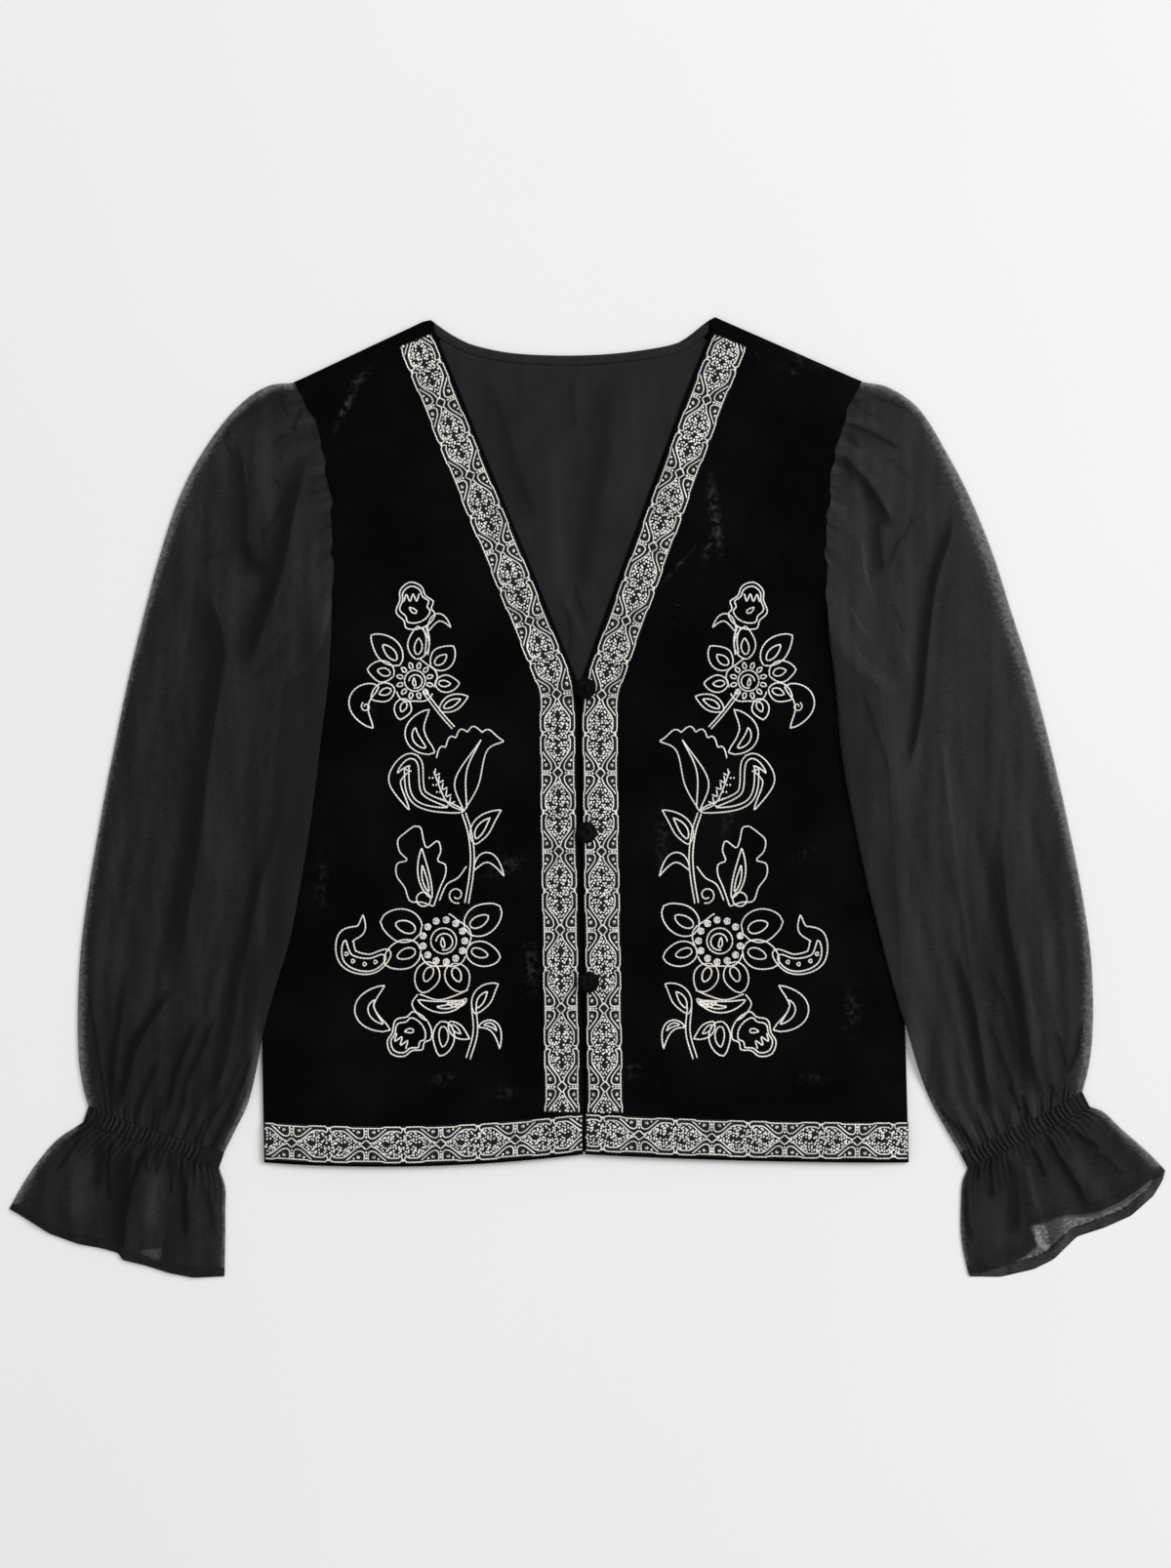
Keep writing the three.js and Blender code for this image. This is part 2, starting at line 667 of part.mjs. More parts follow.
const blouse = new THREE.Group();
function add(name, geometry, material, position) {
  const mesh = new THREE.Mesh(geometry, material);
  mesh.name = name;
  if (position) mesh.position.copy(position);
  blouse.add(mesh);
}

add("back", back(), MATERIALS.velvet);
add("back_neck_facing", neckFacing(), MATERIALS.lining);
add("back_lining", backLining(), MATERIALS.lining);
for (const side of Object.keys(SIDES)) {
  add(side + "_front", front(side), MATERIALS.velvet);
  add(side + "_edge_ribbon", edgeRibbon(side), MATERIALS.ribbon);
  add(side + "_hem_ribbon", hemRibbon(side), MATERIALS.ribbon);
  add(side + "_sleeve", sleeve(side), MATERIALS.sheer);
  add(side + "_casing", casing(side), MATERIALS.sheer);
  add(side + "_cuff_ruffle", ruffle(side), MATERIALS.sheer);
}
BUTTON_HEIGHTS_UP.forEach((y, i) => {
  add("button_" + (i + 1), button(), MATERIALS.button, buttonPlace(y));
});

// The origin is on the ground under the middle of the blouse.
const box = new THREE.Box3().setFromObject(blouse);
const middle = box.getCenter(new THREE.Vector3());
blouse.position.set(-middle.x, -middle.y, 0);

export default blouse;
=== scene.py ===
"""The looks of a velvet blouse with sheer sleeves, laid flat and face up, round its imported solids.

Plan sizes are in millimetres, as a maker would measure the laid blouse. "right" and "left" are
the wearer's: the right front lies at -X.
"""

import math

import bpy
import numpy as np
from bpy.props import FloatProperty, FloatVectorProperty, IntProperty, PointerProperty
from bpy.types import Operator, Panel, PropertyGroup
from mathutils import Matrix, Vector


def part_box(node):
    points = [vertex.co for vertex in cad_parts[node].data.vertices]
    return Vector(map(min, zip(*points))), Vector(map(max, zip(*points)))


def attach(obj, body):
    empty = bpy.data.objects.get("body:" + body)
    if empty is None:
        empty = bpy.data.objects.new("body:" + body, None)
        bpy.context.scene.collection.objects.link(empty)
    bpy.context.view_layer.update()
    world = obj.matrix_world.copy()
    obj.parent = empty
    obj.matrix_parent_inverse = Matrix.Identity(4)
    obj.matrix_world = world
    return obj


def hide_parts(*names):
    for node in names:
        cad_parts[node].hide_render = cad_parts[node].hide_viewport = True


bl_info = {
    "name": "Velvet blouse",
    "version": (1, 0, 0),
    "blender": (4, 5, 0),
    "location": "3D View > Sidebar > Blouse",
    "description": "Builds a velvet blouse with embroidered ribbon and sheer sleeves, laid flat",
    "category": "Add Mesh",
}

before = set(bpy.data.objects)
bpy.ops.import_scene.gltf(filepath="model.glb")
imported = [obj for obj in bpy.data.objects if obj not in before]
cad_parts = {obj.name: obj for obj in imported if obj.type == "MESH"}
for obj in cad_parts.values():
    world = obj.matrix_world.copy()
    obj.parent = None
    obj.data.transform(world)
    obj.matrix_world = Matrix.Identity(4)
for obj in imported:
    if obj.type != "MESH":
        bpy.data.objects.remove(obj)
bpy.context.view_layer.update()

MILLIMETRE = 0.001
MIDDLE = np.array([0.37, -0.09])  # the plan's own origin, seen from the frame's
SIDES = {"right": -1.0, "left": 1.0}
SEED = 7

# The solids' heights, which the cloth follows
VELVET = 1.5
SEAM_GAP = 0.3
NECK_LIFT = 1.45
LIFT_WIDTH = 30.0
REST_GAP = 0.6
RAMP_FAR, RAMP_NEAR = 14.0, 4.0
CLIMB_FROM, CLIMB_TO = 154.0, 130.0

RIBBON_WIDTH, RIBBON_MARGIN = 25.0, 2.7
HEM_RIBBON_WIDTH, HEM_MARGIN = 26.0, 2.4
NECK_BAND = 7.0
RIBBON_TOP = 1.0  # the ribbon's ground over the velvet
RIBBON_NEARER = {"right": 0.0, "left": 1.5}  # how much nearer to the front edge, below the neck
CASING_LENGTH = 11.0
CASING_FLAT = {"right": 0.15, "left": 0.0}  # the part of each casing that isn't gathered
CUFF_LENGTH, CUFF_HEM = 82.0, 6.5
HEM_SAG = {"right": 5.4, "left": 1.6}
SPRIG_MIDDLE = -4.4  # the line between the front edges, from which the sprigs are measured

# From the hem up: the front edges' height and places, then the side seams' and armholes'
EDGE_Y, EDGE_X = 0, {"right": 1, "left": 2}
SEAM_Y, SEAM_X = 3, {"right": 4, "left": 5}
BODICE = np.array([
    [-248.6, -3.4, -1.9, -254.4, -225.4, 223.4], [-212.8, -2.7, -1.6, -216.2, -226.1, 222.4],
    [-158.4, -3.4, -2.5, -158.4, -226.8, 220.7], [-97.2, -4.1, -3.4, -93.8, -224.7, 217.3],
    [-36.0, -5.1, -4.4, -32.6, -221.3, 213.2], [21.8, -5.8, -5.1, 25.2, -217.3, 209.1],
    [59.2, -6.1, -5.4, 55.8, -213.9, 205.7], [78.9, -6.5, -5.2, 77.5, -211.1, 202.3],
    [101.0, -15.3, 2.4, 89.1, -196.9, 186.0], [129.0, -26.9, 12.6, 105.4, -185.3, 173.1],
    [157.8, -38.4, 23.1, 125.8, -178.8, 167.3], [197.2, -54.7, 37.4, 164.6, -177.8, 165.9],
    [238.7, -71.7, 52.4, 212.2, -179.9, 168.3], [281.0, -88.7, 68.0, 256.4, -188.7, 176.5],
    [328.4, -108.1, 87.0, 284.8, -201.6, 188.7],
])
UNDERARM_ROW = 7
SHOULDER_TIP = {"right": (-204.3, 289.0), "left": (190.4, 289.6)}
NECK_POINT = {"right": (-110.5, 333.2), "left": (87.4, 334.8)}

# The back neck, from the right neck point to the left one
BACK_NECK = np.array([
    [-110.5, 333.2], [-100.3, 325.7], [-91.5, 320.3], [-79.2, 314.8], [-52.7, 309.4], [-15.3, 307.7],
    [21.4, 309.4], [56.8, 314.8], [69.0, 320.3], [75.8, 325.7], [87.4, 334.8],
])

# Sections down each sleeve: inner edge x, y; outer edge x, y; bow towards the cuff
IN_X, IN_Y, OUT_X, OUT_Y, BOW = range(5)
SLEEVE = {
    "right": np.array([
        [-178.8, 125.8, -204.3, 289.0, 0], [-178.5, 113.6, -224.7, 285.6, -7],
        [-179.2, 101.3, -245.8, 270.0, -5], [-179.9, 86.4, -267.6, 241.4, -3],
        [-181.9, 67.3, -284.6, 208.8, -1], [-185.3, 42.2, -298.2, 168.0, 0],
        [-188.7, 11.6, -309.1, 127.2, 0], [-193.5, -22.4, -319.3, 85.0, 0],
        [-199.6, -59.8, -330.1, 33.3, 0], [-207.7, -100.6, -339.7, -17.0, 0],
        [-218.6, -136.7, -347.8, -64.6, 1], [-226.1, -165.2, -353.3, -107.4, 2],
        [-230.9, -191.1, -355.3, -148.2, 3], [-237.0, -214.2, -354.6, -182.2, 3],
        [-244.5, -229.8, -351.2, -203.3, 2], [-253.3, -247.5, -347.8, -215.6, 1],
    ]),
    "left": np.array([
        [167.3, 125.8, 190.4, 289.6, 0], [167.6, 113.6, 210.5, 284.9, -7],
        [169.0, 101.3, 231.5, 269.3, -5], [171.0, 86.4, 251.3, 237.3, -3],
        [173.1, 66.0, 267.6, 205.4, -1], [175.1, 40.8, 282.5, 168.0, 0], [179.2, 11.6, 295.5, 127.2, 0],
        [186.0, -22.4, 309.1, 85.0, 0], [194.1, -59.8, 322.7, 33.3, 0],
        [204.3, -100.6, 334.2, -17.0, 0], [213.9, -136.7, 343.7, -64.6, 1],
        [222.0, -162.5, 349.9, -105.4, 2], [230.2, -189.7, 351.9, -141.4, 3],
        [238.3, -210.8, 351.2, -169.3, 3], [248.5, -229.8, 348.5, -189.7, 2],
        [259.4, -248.2, 344.4, -205.4, 1],
    ]),
}
RUFFLE = {
    "right": np.array([
        [-252.6, -272.0, -368.9, -238.0, 0], [-252.6, -287.6, -381.1, -251.6, 0],
        [-252.6, -304.0, -390.7, -265.2, 0], [-253.0, -319.6, -397.5, -276.8, 0],
        [-253.3, -333.9, -402.9, -287.0, 0],
    ]),
    "left": np.array([
        [260.8, -269.3, 359.4, -219.6, 0], [260.1, -284.9, 371.6, -231.2, 0],
        [260.1, -301.9, 383.2, -241.4, 0], [262.1, -318.2, 394.1, -251.6, 0],
        [266.2, -333.9, 402.2, -260.4, 0],
    ]),
}
# How far each cuff's hem reaches beyond its last section's straight line: place across, reach
HEM_REACH = {
    "right": np.array([
        [0, 0], [0.13, 7.5], [0.24, 9.4], [0.35, 9.3], [0.46, 10.5], [0.475, 6.6], [0.56, 7.0],
        [0.66, 9.0], [0.8, 8.1], [0.95, 1.8], [1, 0],
    ]),
    "left": np.array([
        [0, 0], [0.12, 10.4], [0.27, 16.8], [0.37, 17.3], [0.44, 14.1], [0.51, 11.0], [0.64, 14.7],
        [0.77, 16.2], [0.9, 11.4], [0.97, 5.0], [1, 0],
    ]),
}
# How much shorter each cuff's upper layer hangs, at places across it: place, distance
UPPER_SHORT = {
    "right": np.array([[0, 1], [1, 1]]),
    "left": np.array([
        [0, 2], [0.08, 5], [0.114, 7.2], [0.229, 9.6], [0.33, 14], [0.345, 29.6], [0.42, 23.5],
        [0.5, 18.2], [0.583, 14], [0.663, 12], [0.788, 12.4], [0.919, 9.5], [0.97, 3], [1, 1],
    ]),
}

# Creases in the cloth: points along each, how far the painted shade spreads to the left and to the
# right of the way that they run, how dark it is (a painted highlight, below 0), and its height.
# Millimetres.
SLEEVE_CREASES = {
    "right": [
        ([(-238.5, 84.5), (-226, 120.5),
          (-212.5, 161), (-204.5, 202), (-193.5, 244)], 9, 1.2, 0.95, 1.6),
        ([(-205.5, 120.5), (-219.5, 98.5), (-235, 81.5)], 7, 0.8, 0.22, 0.8),
        ([(-231.5, 153), (-238.5, 175), (-239, 209), (-244.5, 253)], 8, 1.6, 0.6, -1.2),
        ([(-224.5, 153), (-235.5, 164.5), (-242.5, 177.5)], 4, 5, 0.55, -0.8),
        ([(-288.5, -136.5), (-280.5, -90.5), (-271.5, -36), (-265.5, 18.5),
          (-258.5, 66), (-253.5, 100), (-258.5, 126), (-269, 150.5)], 12, 1.1, 0.75, 1.6),
        ([(-326.5, -221), (-320.5, -198),
          (-315, -176), (-303, -154.5), (-286.5, -131)], 4.5, 0.8, 0.95, 1.4),
        ([(-275, -222.5), (-256, -195), (-248, -162),
          (-241, -121), (-231.5, -73.5), (-217.5, -29), (-205.5, 25)], 7, 0.9, 0.42, 1),
        ([(-292.5, -222.5), (-287.5, -199), (-280.5, -177.5), (-269, -151.5)], 3, 0.8, 0.7, 0.8),
        ([(-283, -224.5), (-279, -200.5), (-269.5, -179), (-257.5, -149)], 2.6, 0.8, 0.55, 0.7),
        ([(-314, -223.5), (-307.5, -204.5), (-297, -181.5)], 2.6, 0.8, 0.55, 0.7),
        ([(-332, -213), (-329.5, -182), (-325.5, -155), (-320.5, -117.5)], 3, 1.4, 0.5, 0.8),
        ([(-335, -214), (-339, -189), (-343, -162), (-348, -130)], 1.3, 0.9, 0.5, 0.5),
        ([(-252, -226.5), (-242.5, -204.5), (-231.5, -173.5)], 1.6, 0.8, 0.4, 0.4),
        ([(-264, -226.5), (-252, -209), (-239.5, -179)], 1.6, 0.8, 0.3, 0.4),
        ([(-282, -134.5), (-272.5, -83.5), (-265.5, -36), (-259.5, 18.5)], 3, 3, -0.25, 0.3),
        ([(-273.5, -166.5), (-256.5, -124.5), (-252, -56.5)], 4, 4, -0.2, 0.3),
        ([(-317, -166.5), (-307.5, -124.5), (-306.5, -49.5)], 5, 5, -0.28, 0.3),
        ([(-336.5, -124.5), (-336.5, -77), (-331, -22.5)], 4, 4, -0.25, 0.2),
        ([(-226, 173.5), (-226, 222.5), (-230, 264.5)], 7, 7, -0.25, 0.3),
        ([(-190.5, 120.5), (-190.5, 175), (-188, 222.5)], 6, 4, -0.15, 0.3),
        ([(-265.5, 175), (-258.5, 215.5), (-252, 256.5)], 6, 6, -0.18, 0.3),
        ([(-221.5, 245), (-214.5, 249.5), (-207.5, 252.5)], 1.1, 1.1, 0.45, -0.3),
        ([(-205, 252.5), (-202.5, 263), (-197, 272)], 1.6, 0.8, 0.65, -0.5),
        ([(-234.5, 228), (-219.5, 222.5), (-212, 212)], 1.2, 1.2, 0.35, -0.3),
        ([(-229, 180), (-219.5, 192), (-211, 208)], 1.2, 1.2, 0.35, -0.3),
        ([(-216.5, 283), (-231.5, 271.5), (-252, 259), (-268.5, 238.5)], 3.5, 1, 0.3, 0.6),
        ([(-207, 263), (-212.5, 275.5), (-214, 285)], 1.4, 0.8, 0.5, -0.4),
        ([(-246.5, 236), (-252, 248), (-249, 256.5)], 1.2, 0.8, 0.4, -0.3),
        ([(-269.5, 161), (-263, 168), (-252, 170.5)], 1.4, 1, 0.3, -0.3),
        ([(-280.5, 120.5), (-283, 93), (-288.5, 66)], 1.5, 1.5, -0.2, 0.2),
    ],
    "left": [
        ([(214, 186.5), (205.5, 202), (197.5, 215.5), (186, 229), (173, 241.5)], 5.5, 0.9, 1, 1.5),
        ([(205.5, 154.5), (203.5, 171.5), (201, 194)], 5, 1.3, 0.75, -1),
        ([(210, 158.5), (214.5, 175), (222.5, 185), (228, 201.5)], 1.6, 0.8, 0.5, -0.4),
        ([(220, 13), (227, 35.5), (232, 62.5), (235, 93),
          (238.5, 127), (243, 154.5), (251.5, 181.5), (255.5, 206)], 4.5, 0.9, 0.95, 1.6),
        ([(200.5, 132.5), (193.5, 155.5), (190, 184.5)], 1.3, 1.3, -0.6, 0.4),
        ([(197.5, 109.5), (188.5, 120.5), (181, 135.5)], 1.2, 1.2, -0.5, 0.3),
        ([(219.5, 112), (216.5, 124), (210, 138)], 1.6, 0.8, 0.45, -0.4),
        ([(224.5, 85), (222.5, 94.5), (220, 105.5)], 2.2, 1.6, -0.5, 0.3),
        ([(212.5, 10), (201, 45.5), (189.5, 81)], 1.5, 1, 0.3, 0.3),
        ([(218, 242), (202.5, 251), (177, 262.5)], 2.2, 0.8, 0.9, -0.8),
        ([(206.5, 262.5), (195.5, 267), (182, 276)], 1.6, 0.8, 0.45, -0.5),
        ([(247, 241.5), (233, 262), (210.5, 275.5), (188.5, 280)], 1.8, 0.8, 0.5, -0.5),
        ([(190, 242), (186, 247), (179, 250)], 2.2, 1.2, 0.5, -0.4),
        ([(228, 219), (216, 230.5), (205.5, 237.5)], 2.5, 1.2, 0.25, -0.3),
        ([(270.5, -128.5), (263.5, -87), (256.5, -36), (250.5, 11.5), (244, 64.5)], 2.4, 1, -0.65, 0.6),
        ([(275.5, -199), (270.5, -158.5), (266, -124.5),
          (260, -80), (253.5, -56.5), (248, -34.5)], 4, 1.2, 0.3, -0.4),
        ([(319.5, -214), (309, -187), (304.5, -160),
          (299, -124.5), (292, -90.5), (288, -49.5), (284.5, -6)], 9, 1.8, 0.78, 1.4),
        ([(314, -189.5), (311, -158.5), (304.5, -124.5), (301.5, -94)], 2.6, 2.2, -0.55, 0.5),
        ([(331.5, -173.5), (322, -138), (316.5, -96)], 1.4, 1, -0.4, 0.3),
        ([(334, -195), (341, -176), (344.5, -157)], 2.2, 0.9, 0.65, -0.5),
        ([(334, -191), (330, -176), (326.5, -162.5)], 2, 0.9, 0.5, -0.4),
        ([(285.5, -223.5), (277, -199), (272.5, -172), (267, -141.5), (253.5, -96)], 5, 1, 0.65, 1),
        ([(274.5, -211), (267, -199), (256.5, -175.5), (246, -157)], 1.6, 1.2, -0.45, 0.3),
        ([(267.5, -189.5), (263.5, -177.5), (259.5, -164)], 1.4, 1, -0.35, 0.2),
        ([(271.5, -246), (260, -230.5), (246.5, -218.5), (233.5, -198)], 3.2, 0.9, 0.55, 0.7),
        ([(298, -180), (292, -148), (276.5, -113.5)], 3, 1.2, 0.3, 0.3),
        ([(301.5, -218.5), (297.5, -209), (293.5, -198)], 1.8, 0.8, 0.65, 0.5),
        ([(311, -228), (307, -218.5), (302.5, -205.5)], 1.8, 0.8, 0.5, 0.5),
        ([(326.5, -210), (324.5, -204.5), (322.5, -199)], 1.8, 0.9, 0.65, -0.4),
        ([(183.5, 175), (186, 202), (184.5, 229)], 5, 5, -0.25, 0.3),
        ([(253.5, 39), (254, 93), (256.5, 147.5)], 6, 6, -0.2, 0.3),
        ([(222.5, -83.5), (209, -43), (201, -2)], 7, 7, -0.15, 0.3),
        ([(297.5, -29), (290.5, 18.5), (277, 79.5)], 9, 9, -0.15, 0.3),
        ([(301.5, -211.5), (288, -179), (278.5, -151.5)], 2.6, 0.9, 0.35, 0.4),
    ],
}
# The lining's creases: painted shade beside its folds and along the right front's edge, and painted
# highlights where below 0
LINING_CREASES = [
    ([(-33, 188), (-44, 212), (-53, 240), (-60, 265), (-72, 297)], 9, 2.5, 0.6, -0.4),
    ([(-8, 138), (-4, 160), (0, 190), (5, 215), (9, 242), (12, 275), (12, 297)], 8, 6, 0.5, -0.4),
    ([(-9, 254), (-10, 272), (-12, 292)], 2, 1.5, 0.3, 0.2),
    ([(-20, 130), (-22, 190), (-26, 250)], 6, 6, -0.25, 0.4),
    ([(22, 190), (30, 235), (34, 285)], 11, 9, -0.22, 0.4),
    ([(0, 121), (-6, 137), (-10, 152)], 1.2, 2, 0.6, 0.3),
    ([(-14, 94), (-12, 112), (-15, 132)], 2.2, 1, 0.6, -0.3),
    ([(-3, 107), (-10, 125), (-18, 141)], 2.2, 1.4, -0.2, 0.4),
]
CUFF_CREASES = {
    "right": [
        ([(-325, -318), (-323, -300), (-322, -285), (-320, -262), (-317, -244)], 7, 1, 1.3, -0.7),
        ([(-321, -288), (-317, -270), (-310, -253), (-303, -242)], 2.6, 1, 1.1, 0.6),
        ([(-279, -308), (-279, -290), (-280, -272), (-282, -250)], 3, 1.2, 1.1, 0.6),
        ([(-289, -278), (-290, -263), (-288, -249)], 1.6, 1, 0.8, 0.4),
        ([(-332, -284), (-333, -264), (-333, -249), (-329, -237)], 1.8, 1.1, 1, 0.5),
        ([(-341, -276), (-339, -254), (-338, -237)], 4, 2, 0.7, -0.4),
        ([(-306, -262), (-308, -250), (-306, -240)], 1.4, 0.9, 0.6, 0.3),
        ([(-309, -304), (-302, -276), (-297, -255)], 8, 8, -0.3, 0.7),
        ([(-357, -296), (-353, -268), (-347, -246)], 9, 9, -0.2, 0.6),
        ([(-259, -306), (-262, -284), (-267, -268)], 2.4, 1, 0.4, 0.3),
        ([(-370, -262), (-361, -249), (-351, -234)], 2, 1, 0.55, 0.3),
        ([(-299, -264), (-300, -254), (-298, -246)], 1.4, 0.8, 0.5, 0.2),
        ([(-274, -266), (-274, -258), (-272, -252)], 2, 1, 0.7, 0.3),
    ],
    "left": [
        ([(300, -308), (299, -284), (297, -264), (292, -250)], 6, 1.8, 0.8, -0.5),
        ([(282, -280), (281, -263), (281, -249)], 2.2, 1.5, 1, 0.5),
        ([(350, -289), (342, -272), (333, -257), (326, -246), (320, -233)], 3.4, 1.2, 1.1, 0.6),
        ([(319, -266), (315, -253), (309, -242)], 2.2, 1.1, 0.9, 0.4),
        ([(359, -246), (346, -237), (336, -231), (330, -226)], 2.4, 1.2, 0.8, 0.4),
        ([(374, -264), (363, -253), (351, -246)], 2, 1, 0.4, 0.2),
        ([(314, -292), (309, -271), (304, -252)], 2.5, 2.5, -0.4, 0.4),
        ([(358, -282), (347, -264), (338, -249)], 4.5, 4.5, -0.28, 0.5),
        ([(273, -268), (272, -258), (270, -250)], 1.8, 1, 0.7, 0.3),
        ([(268, -312), (264, -290), (263, -268)], 2, 1.4, 0.5, 0.3),
        ([(286, -316), (288, -292), (289, -268)], 4, 4, -0.2, 0.4),
    ],
}
# Patches of the cuffs by their corners: where light comes through, or a seam's allowance hides more
CUFF_WINDOW = {
    "right": [(-311, -315.5), (-310, -320.5), (-298, -323.5), (-296.5, -314)],
    "left": [(308.5, -296.5), (313.5, -313), (320, -316.5), (313, -295)],
}
CUFF_SEAM = {
    "right": [(-296.5, -309), (-294.5, -327), (-291.5, -327), (-293, -309)],
    "left": [(317.5, -292), (323.5, -317), (332, -306), (331.5, -289)],
}
FRONT_CREASES = {
    "right": [
        ([(-206, -40), (-198, -120), (-205, -210)], 22, 22, 0, 0.35),
        ([(-120, 250), (-140, 140), (-130, 60)], 26, 26, 0, 0.3),
        ([(-40, -60), (-48, -140), (-42, -200)], 20, 20, 0, -0.3),
    ],
    "left": [
        ([(196, -50), (186, -120), (190, -205)], 22, 22, 0, 0.35),
        ([(116, 240), (130, 140), (122, 50)], 26, 26, 0, 0.3),
        ([(44, -70), (50, -150), (46, -210)], 20, 20, 0, -0.3),
    ],
}
# How wide the sleeve's outer edge is where its layers part and light comes through: place down
# the sleeve, width in millimetres
THIN_BAND = {
    "right": np.array([
        [0, 5], [0.1, 6], [0.23, 8], [0.32, 8], [0.42, 4.5], [0.52, 3], [0.61, 3], [0.71, 5], [0.78, 9],
        [0.88, 10], [1, 6],
    ]),
    "left": np.array([
        [0, 4], [0.1, 4], [0.2, 9], [0.27, 14], [0.43, 13], [0.53, 10], [0.62, 7], [0.71, 6], [0.8, 10],
        [0.9, 11], [1, 6],
    ]),
}
# Painted light on each sleeve: how much darker than its own colour it is painted, the left sleeve
# lighter as if lit from its side, both darker towards the cuff. Place down the sleeve, darkness
SLEEVE_PAINTED_LIGHT = {
    "right": np.array([[0, 0.08], [0.45, 0.16], [0.85, 0.34], [1, 0.34]]),
    "left": np.array([[0, -0.19], [0.45, -0.14], [0.85, 0.02], [1, 0.02]]),
}
CUFF_TONE = {"right": 0.04, "left": 0.0}

# Where each ribbon's pattern starts: from the path's start to its first node, and its repeat
RIBBON_START = {
    ("right", "edge"): (18.0, 54.6),
    ("left", "edge"): (18.4, 54.5),
    ("right", "hem"): (-4.6, 51.9),
    ("left", "hem"): (37.4, 50.6),
}

# Places where the velvet's pile is crushed: centre, length along, width, turn in degrees, strength
CRUSH_MARKS = np.array([
    [-168, 272, 26, 3.4, 65, 1.3], [-160, 290, 16, 5, 40, 0.5], [-186, 228, 12, 3, 60, 0.35],
    [88.5, 196, 36, 4.5, 98, 1.7], [84, 174, 16, 3.5, 75, 0.9], [62, 160, 26, 1.6, 48, 0.7],
    [150, 304, 20, 4, -25, 1.2], [140, 297, 12, 3, -30, 0.6], [118, 306, 10, 3, -40, 0.4],
    [-58, -48, 20, 9, 20, 0.55], [-40, -118, 9, 26, 0, 0.5], [-84, -84, 10, 12, 0, 0.35],
    [-100, -196, 16, 7, 10, 0.35], [-58, -206, 14, 6, 0, 0.4], [98, -12, 26, 6, 80, 0.4],
    [150, -40, 14, 5, 30, 0.3], [184, -150, 8, 26, 0, 0.45], [156, -196, 16, 5, 0, 0.35],
    [52, -28, 7, 34, 0, 0.4], [-150, 60, 18, 4, 80, 0.25], [30, -190, 12, 10, 0, 0.35],
    [-186, -60, 7, 30, 0, 0.3], [176, 60, 6, 28, 0, 0.25],
])


class BLOUSE_PG_cloth(PropertyGroup):
    """Colours of the cloth and the thread"""

    velvet: FloatVectorProperty(
        name="Velvet", description="Colour of the pile", subtype="COLOR", size=3,
        default=(0.0016, 0.0016, 0.0017), min=0, max=1,
    )
    crushed: FloatVectorProperty(
        name="Crushed pile", description="Colour of the pile where it lies over",
        subtype="COLOR", size=3, default=(0.055, 0.055, 0.056), min=0, max=1,
    )
    sheer: FloatVectorProperty(
        name="Sheer cloth", description="Colour of the sleeves' thread", subtype="COLOR",
        size=3, default=(0.0125, 0.0127, 0.0137), min=0, max=1,
    )
    lining: FloatVectorProperty(
        name="Lining", description="Colour of the lining", subtype="COLOR", size=3,
        default=(0.0096, 0.0098, 0.0106), min=0, max=1,
    )
    silver: FloatVectorProperty(
        name="Silver thread", description="Colour of the embroidery thread", subtype="COLOR",
        size=3, default=(0.8, 0.788, 0.735), min=0, max=1,
    )
    ribbon: FloatVectorProperty(
        name="Ribbon ground", description="Colour of the ribbon under its embroidery",
        subtype="COLOR", size=3, default=(0.012, 0.012, 0.0115), min=0, max=1,
    )
    floor: FloatVectorProperty(
        name="Floor", description="Colour of the surface that the blouse lies on",
        subtype="COLOR", size=3, default=(0.8, 0.8, 0.795), min=0, max=1,
    )
    cover: FloatProperty(
        name="Cover", description="How much of what is behind one layer of sheer cloth it hides",
        default=0.7, min=0, max=1, subtype="FACTOR",
    )


class BLOUSE_PG_sizes(PropertyGroup):
    """Sizes of the folds and the embroidery"""

    fold_height: FloatProperty(
        name="Fold height", description="Scale of the sleeves' folds", default=1.0, min=0, max=1.3,
    )
    ribbon_thread: FloatProperty(
        name="Ribbon thread", description="Width of the ribbon's stitched lines",
        default=0.00095, min=0.0003, max=0.002, unit="LENGTH",
    )
    cord: FloatProperty(
        name="Chain stitch", description="Width of the sprigs' chain stitch", default=0.0011,
        min=0.0005, max=0.004, unit="LENGTH",
    )
    stitch: FloatProperty(
        name="Stitch length", description="Length of one link of chain stitch", default=0.0024,
        min=0.001, max=0.006, unit="LENGTH",
    )
    casing_gathers: IntProperty(
        name="Casing gathers", description="Gathers along each elastic casing", default=27,
        min=8, max=60,
    )


def smooth(t):
    """0 up to 0 and 1 from 1 on, with an eased rise between them"""
    t = np.clip(t, 0, 1)
    return t * t * (3 - 2 * t)


def bell(t):
    """1 at 0, falling away on both sides"""
    return np.exp(-np.square(t))


def sampled(at, known, rows):
    """A table's rows read off between known places, straight from each to the next"""
    return np.column_stack([np.interp(at, known, column) for column in rows.T])


def eased_rows(rows, count):
    """A table's rows with smooth ones put between them"""
    rows = np.asarray(rows, float)
    at = np.linspace(0, len(rows) - 1, count)
    i = np.minimum(at.astype(int), len(rows) - 2)
    t = (at - i)[:, None]
    slope = np.gradient(rows, axis=0)
    start, end = rows[i], rows[i + 1]
    swing = (t**3 - 2 * t**2 + t) * slope[i] + (t**3 - t**2) * slope[i + 1]
    return start + (3 * t**2 - 2 * t**3) * (end - start) + swing


def straight_rows(rows, count):
    """A table's rows with straight ones put between them"""
    return sampled(np.linspace(0, len(rows) - 1, count), np.arange(len(rows)), rows)


def line_length(line):
    """How far along a line each of its points is"""
    steps = np.linalg.norm(np.diff(line, axis=0), axis=1)
    return np.concatenate([[0], np.cumsum(steps)])


def spaced(line, step):
    """The same line with its points that far apart"""
    line = np.asarray(line, float)
    along = line_length(line)
    return sampled(np.linspace(0, along[-1], max(2, int(round(along[-1] / step)) + 1)), along, line)


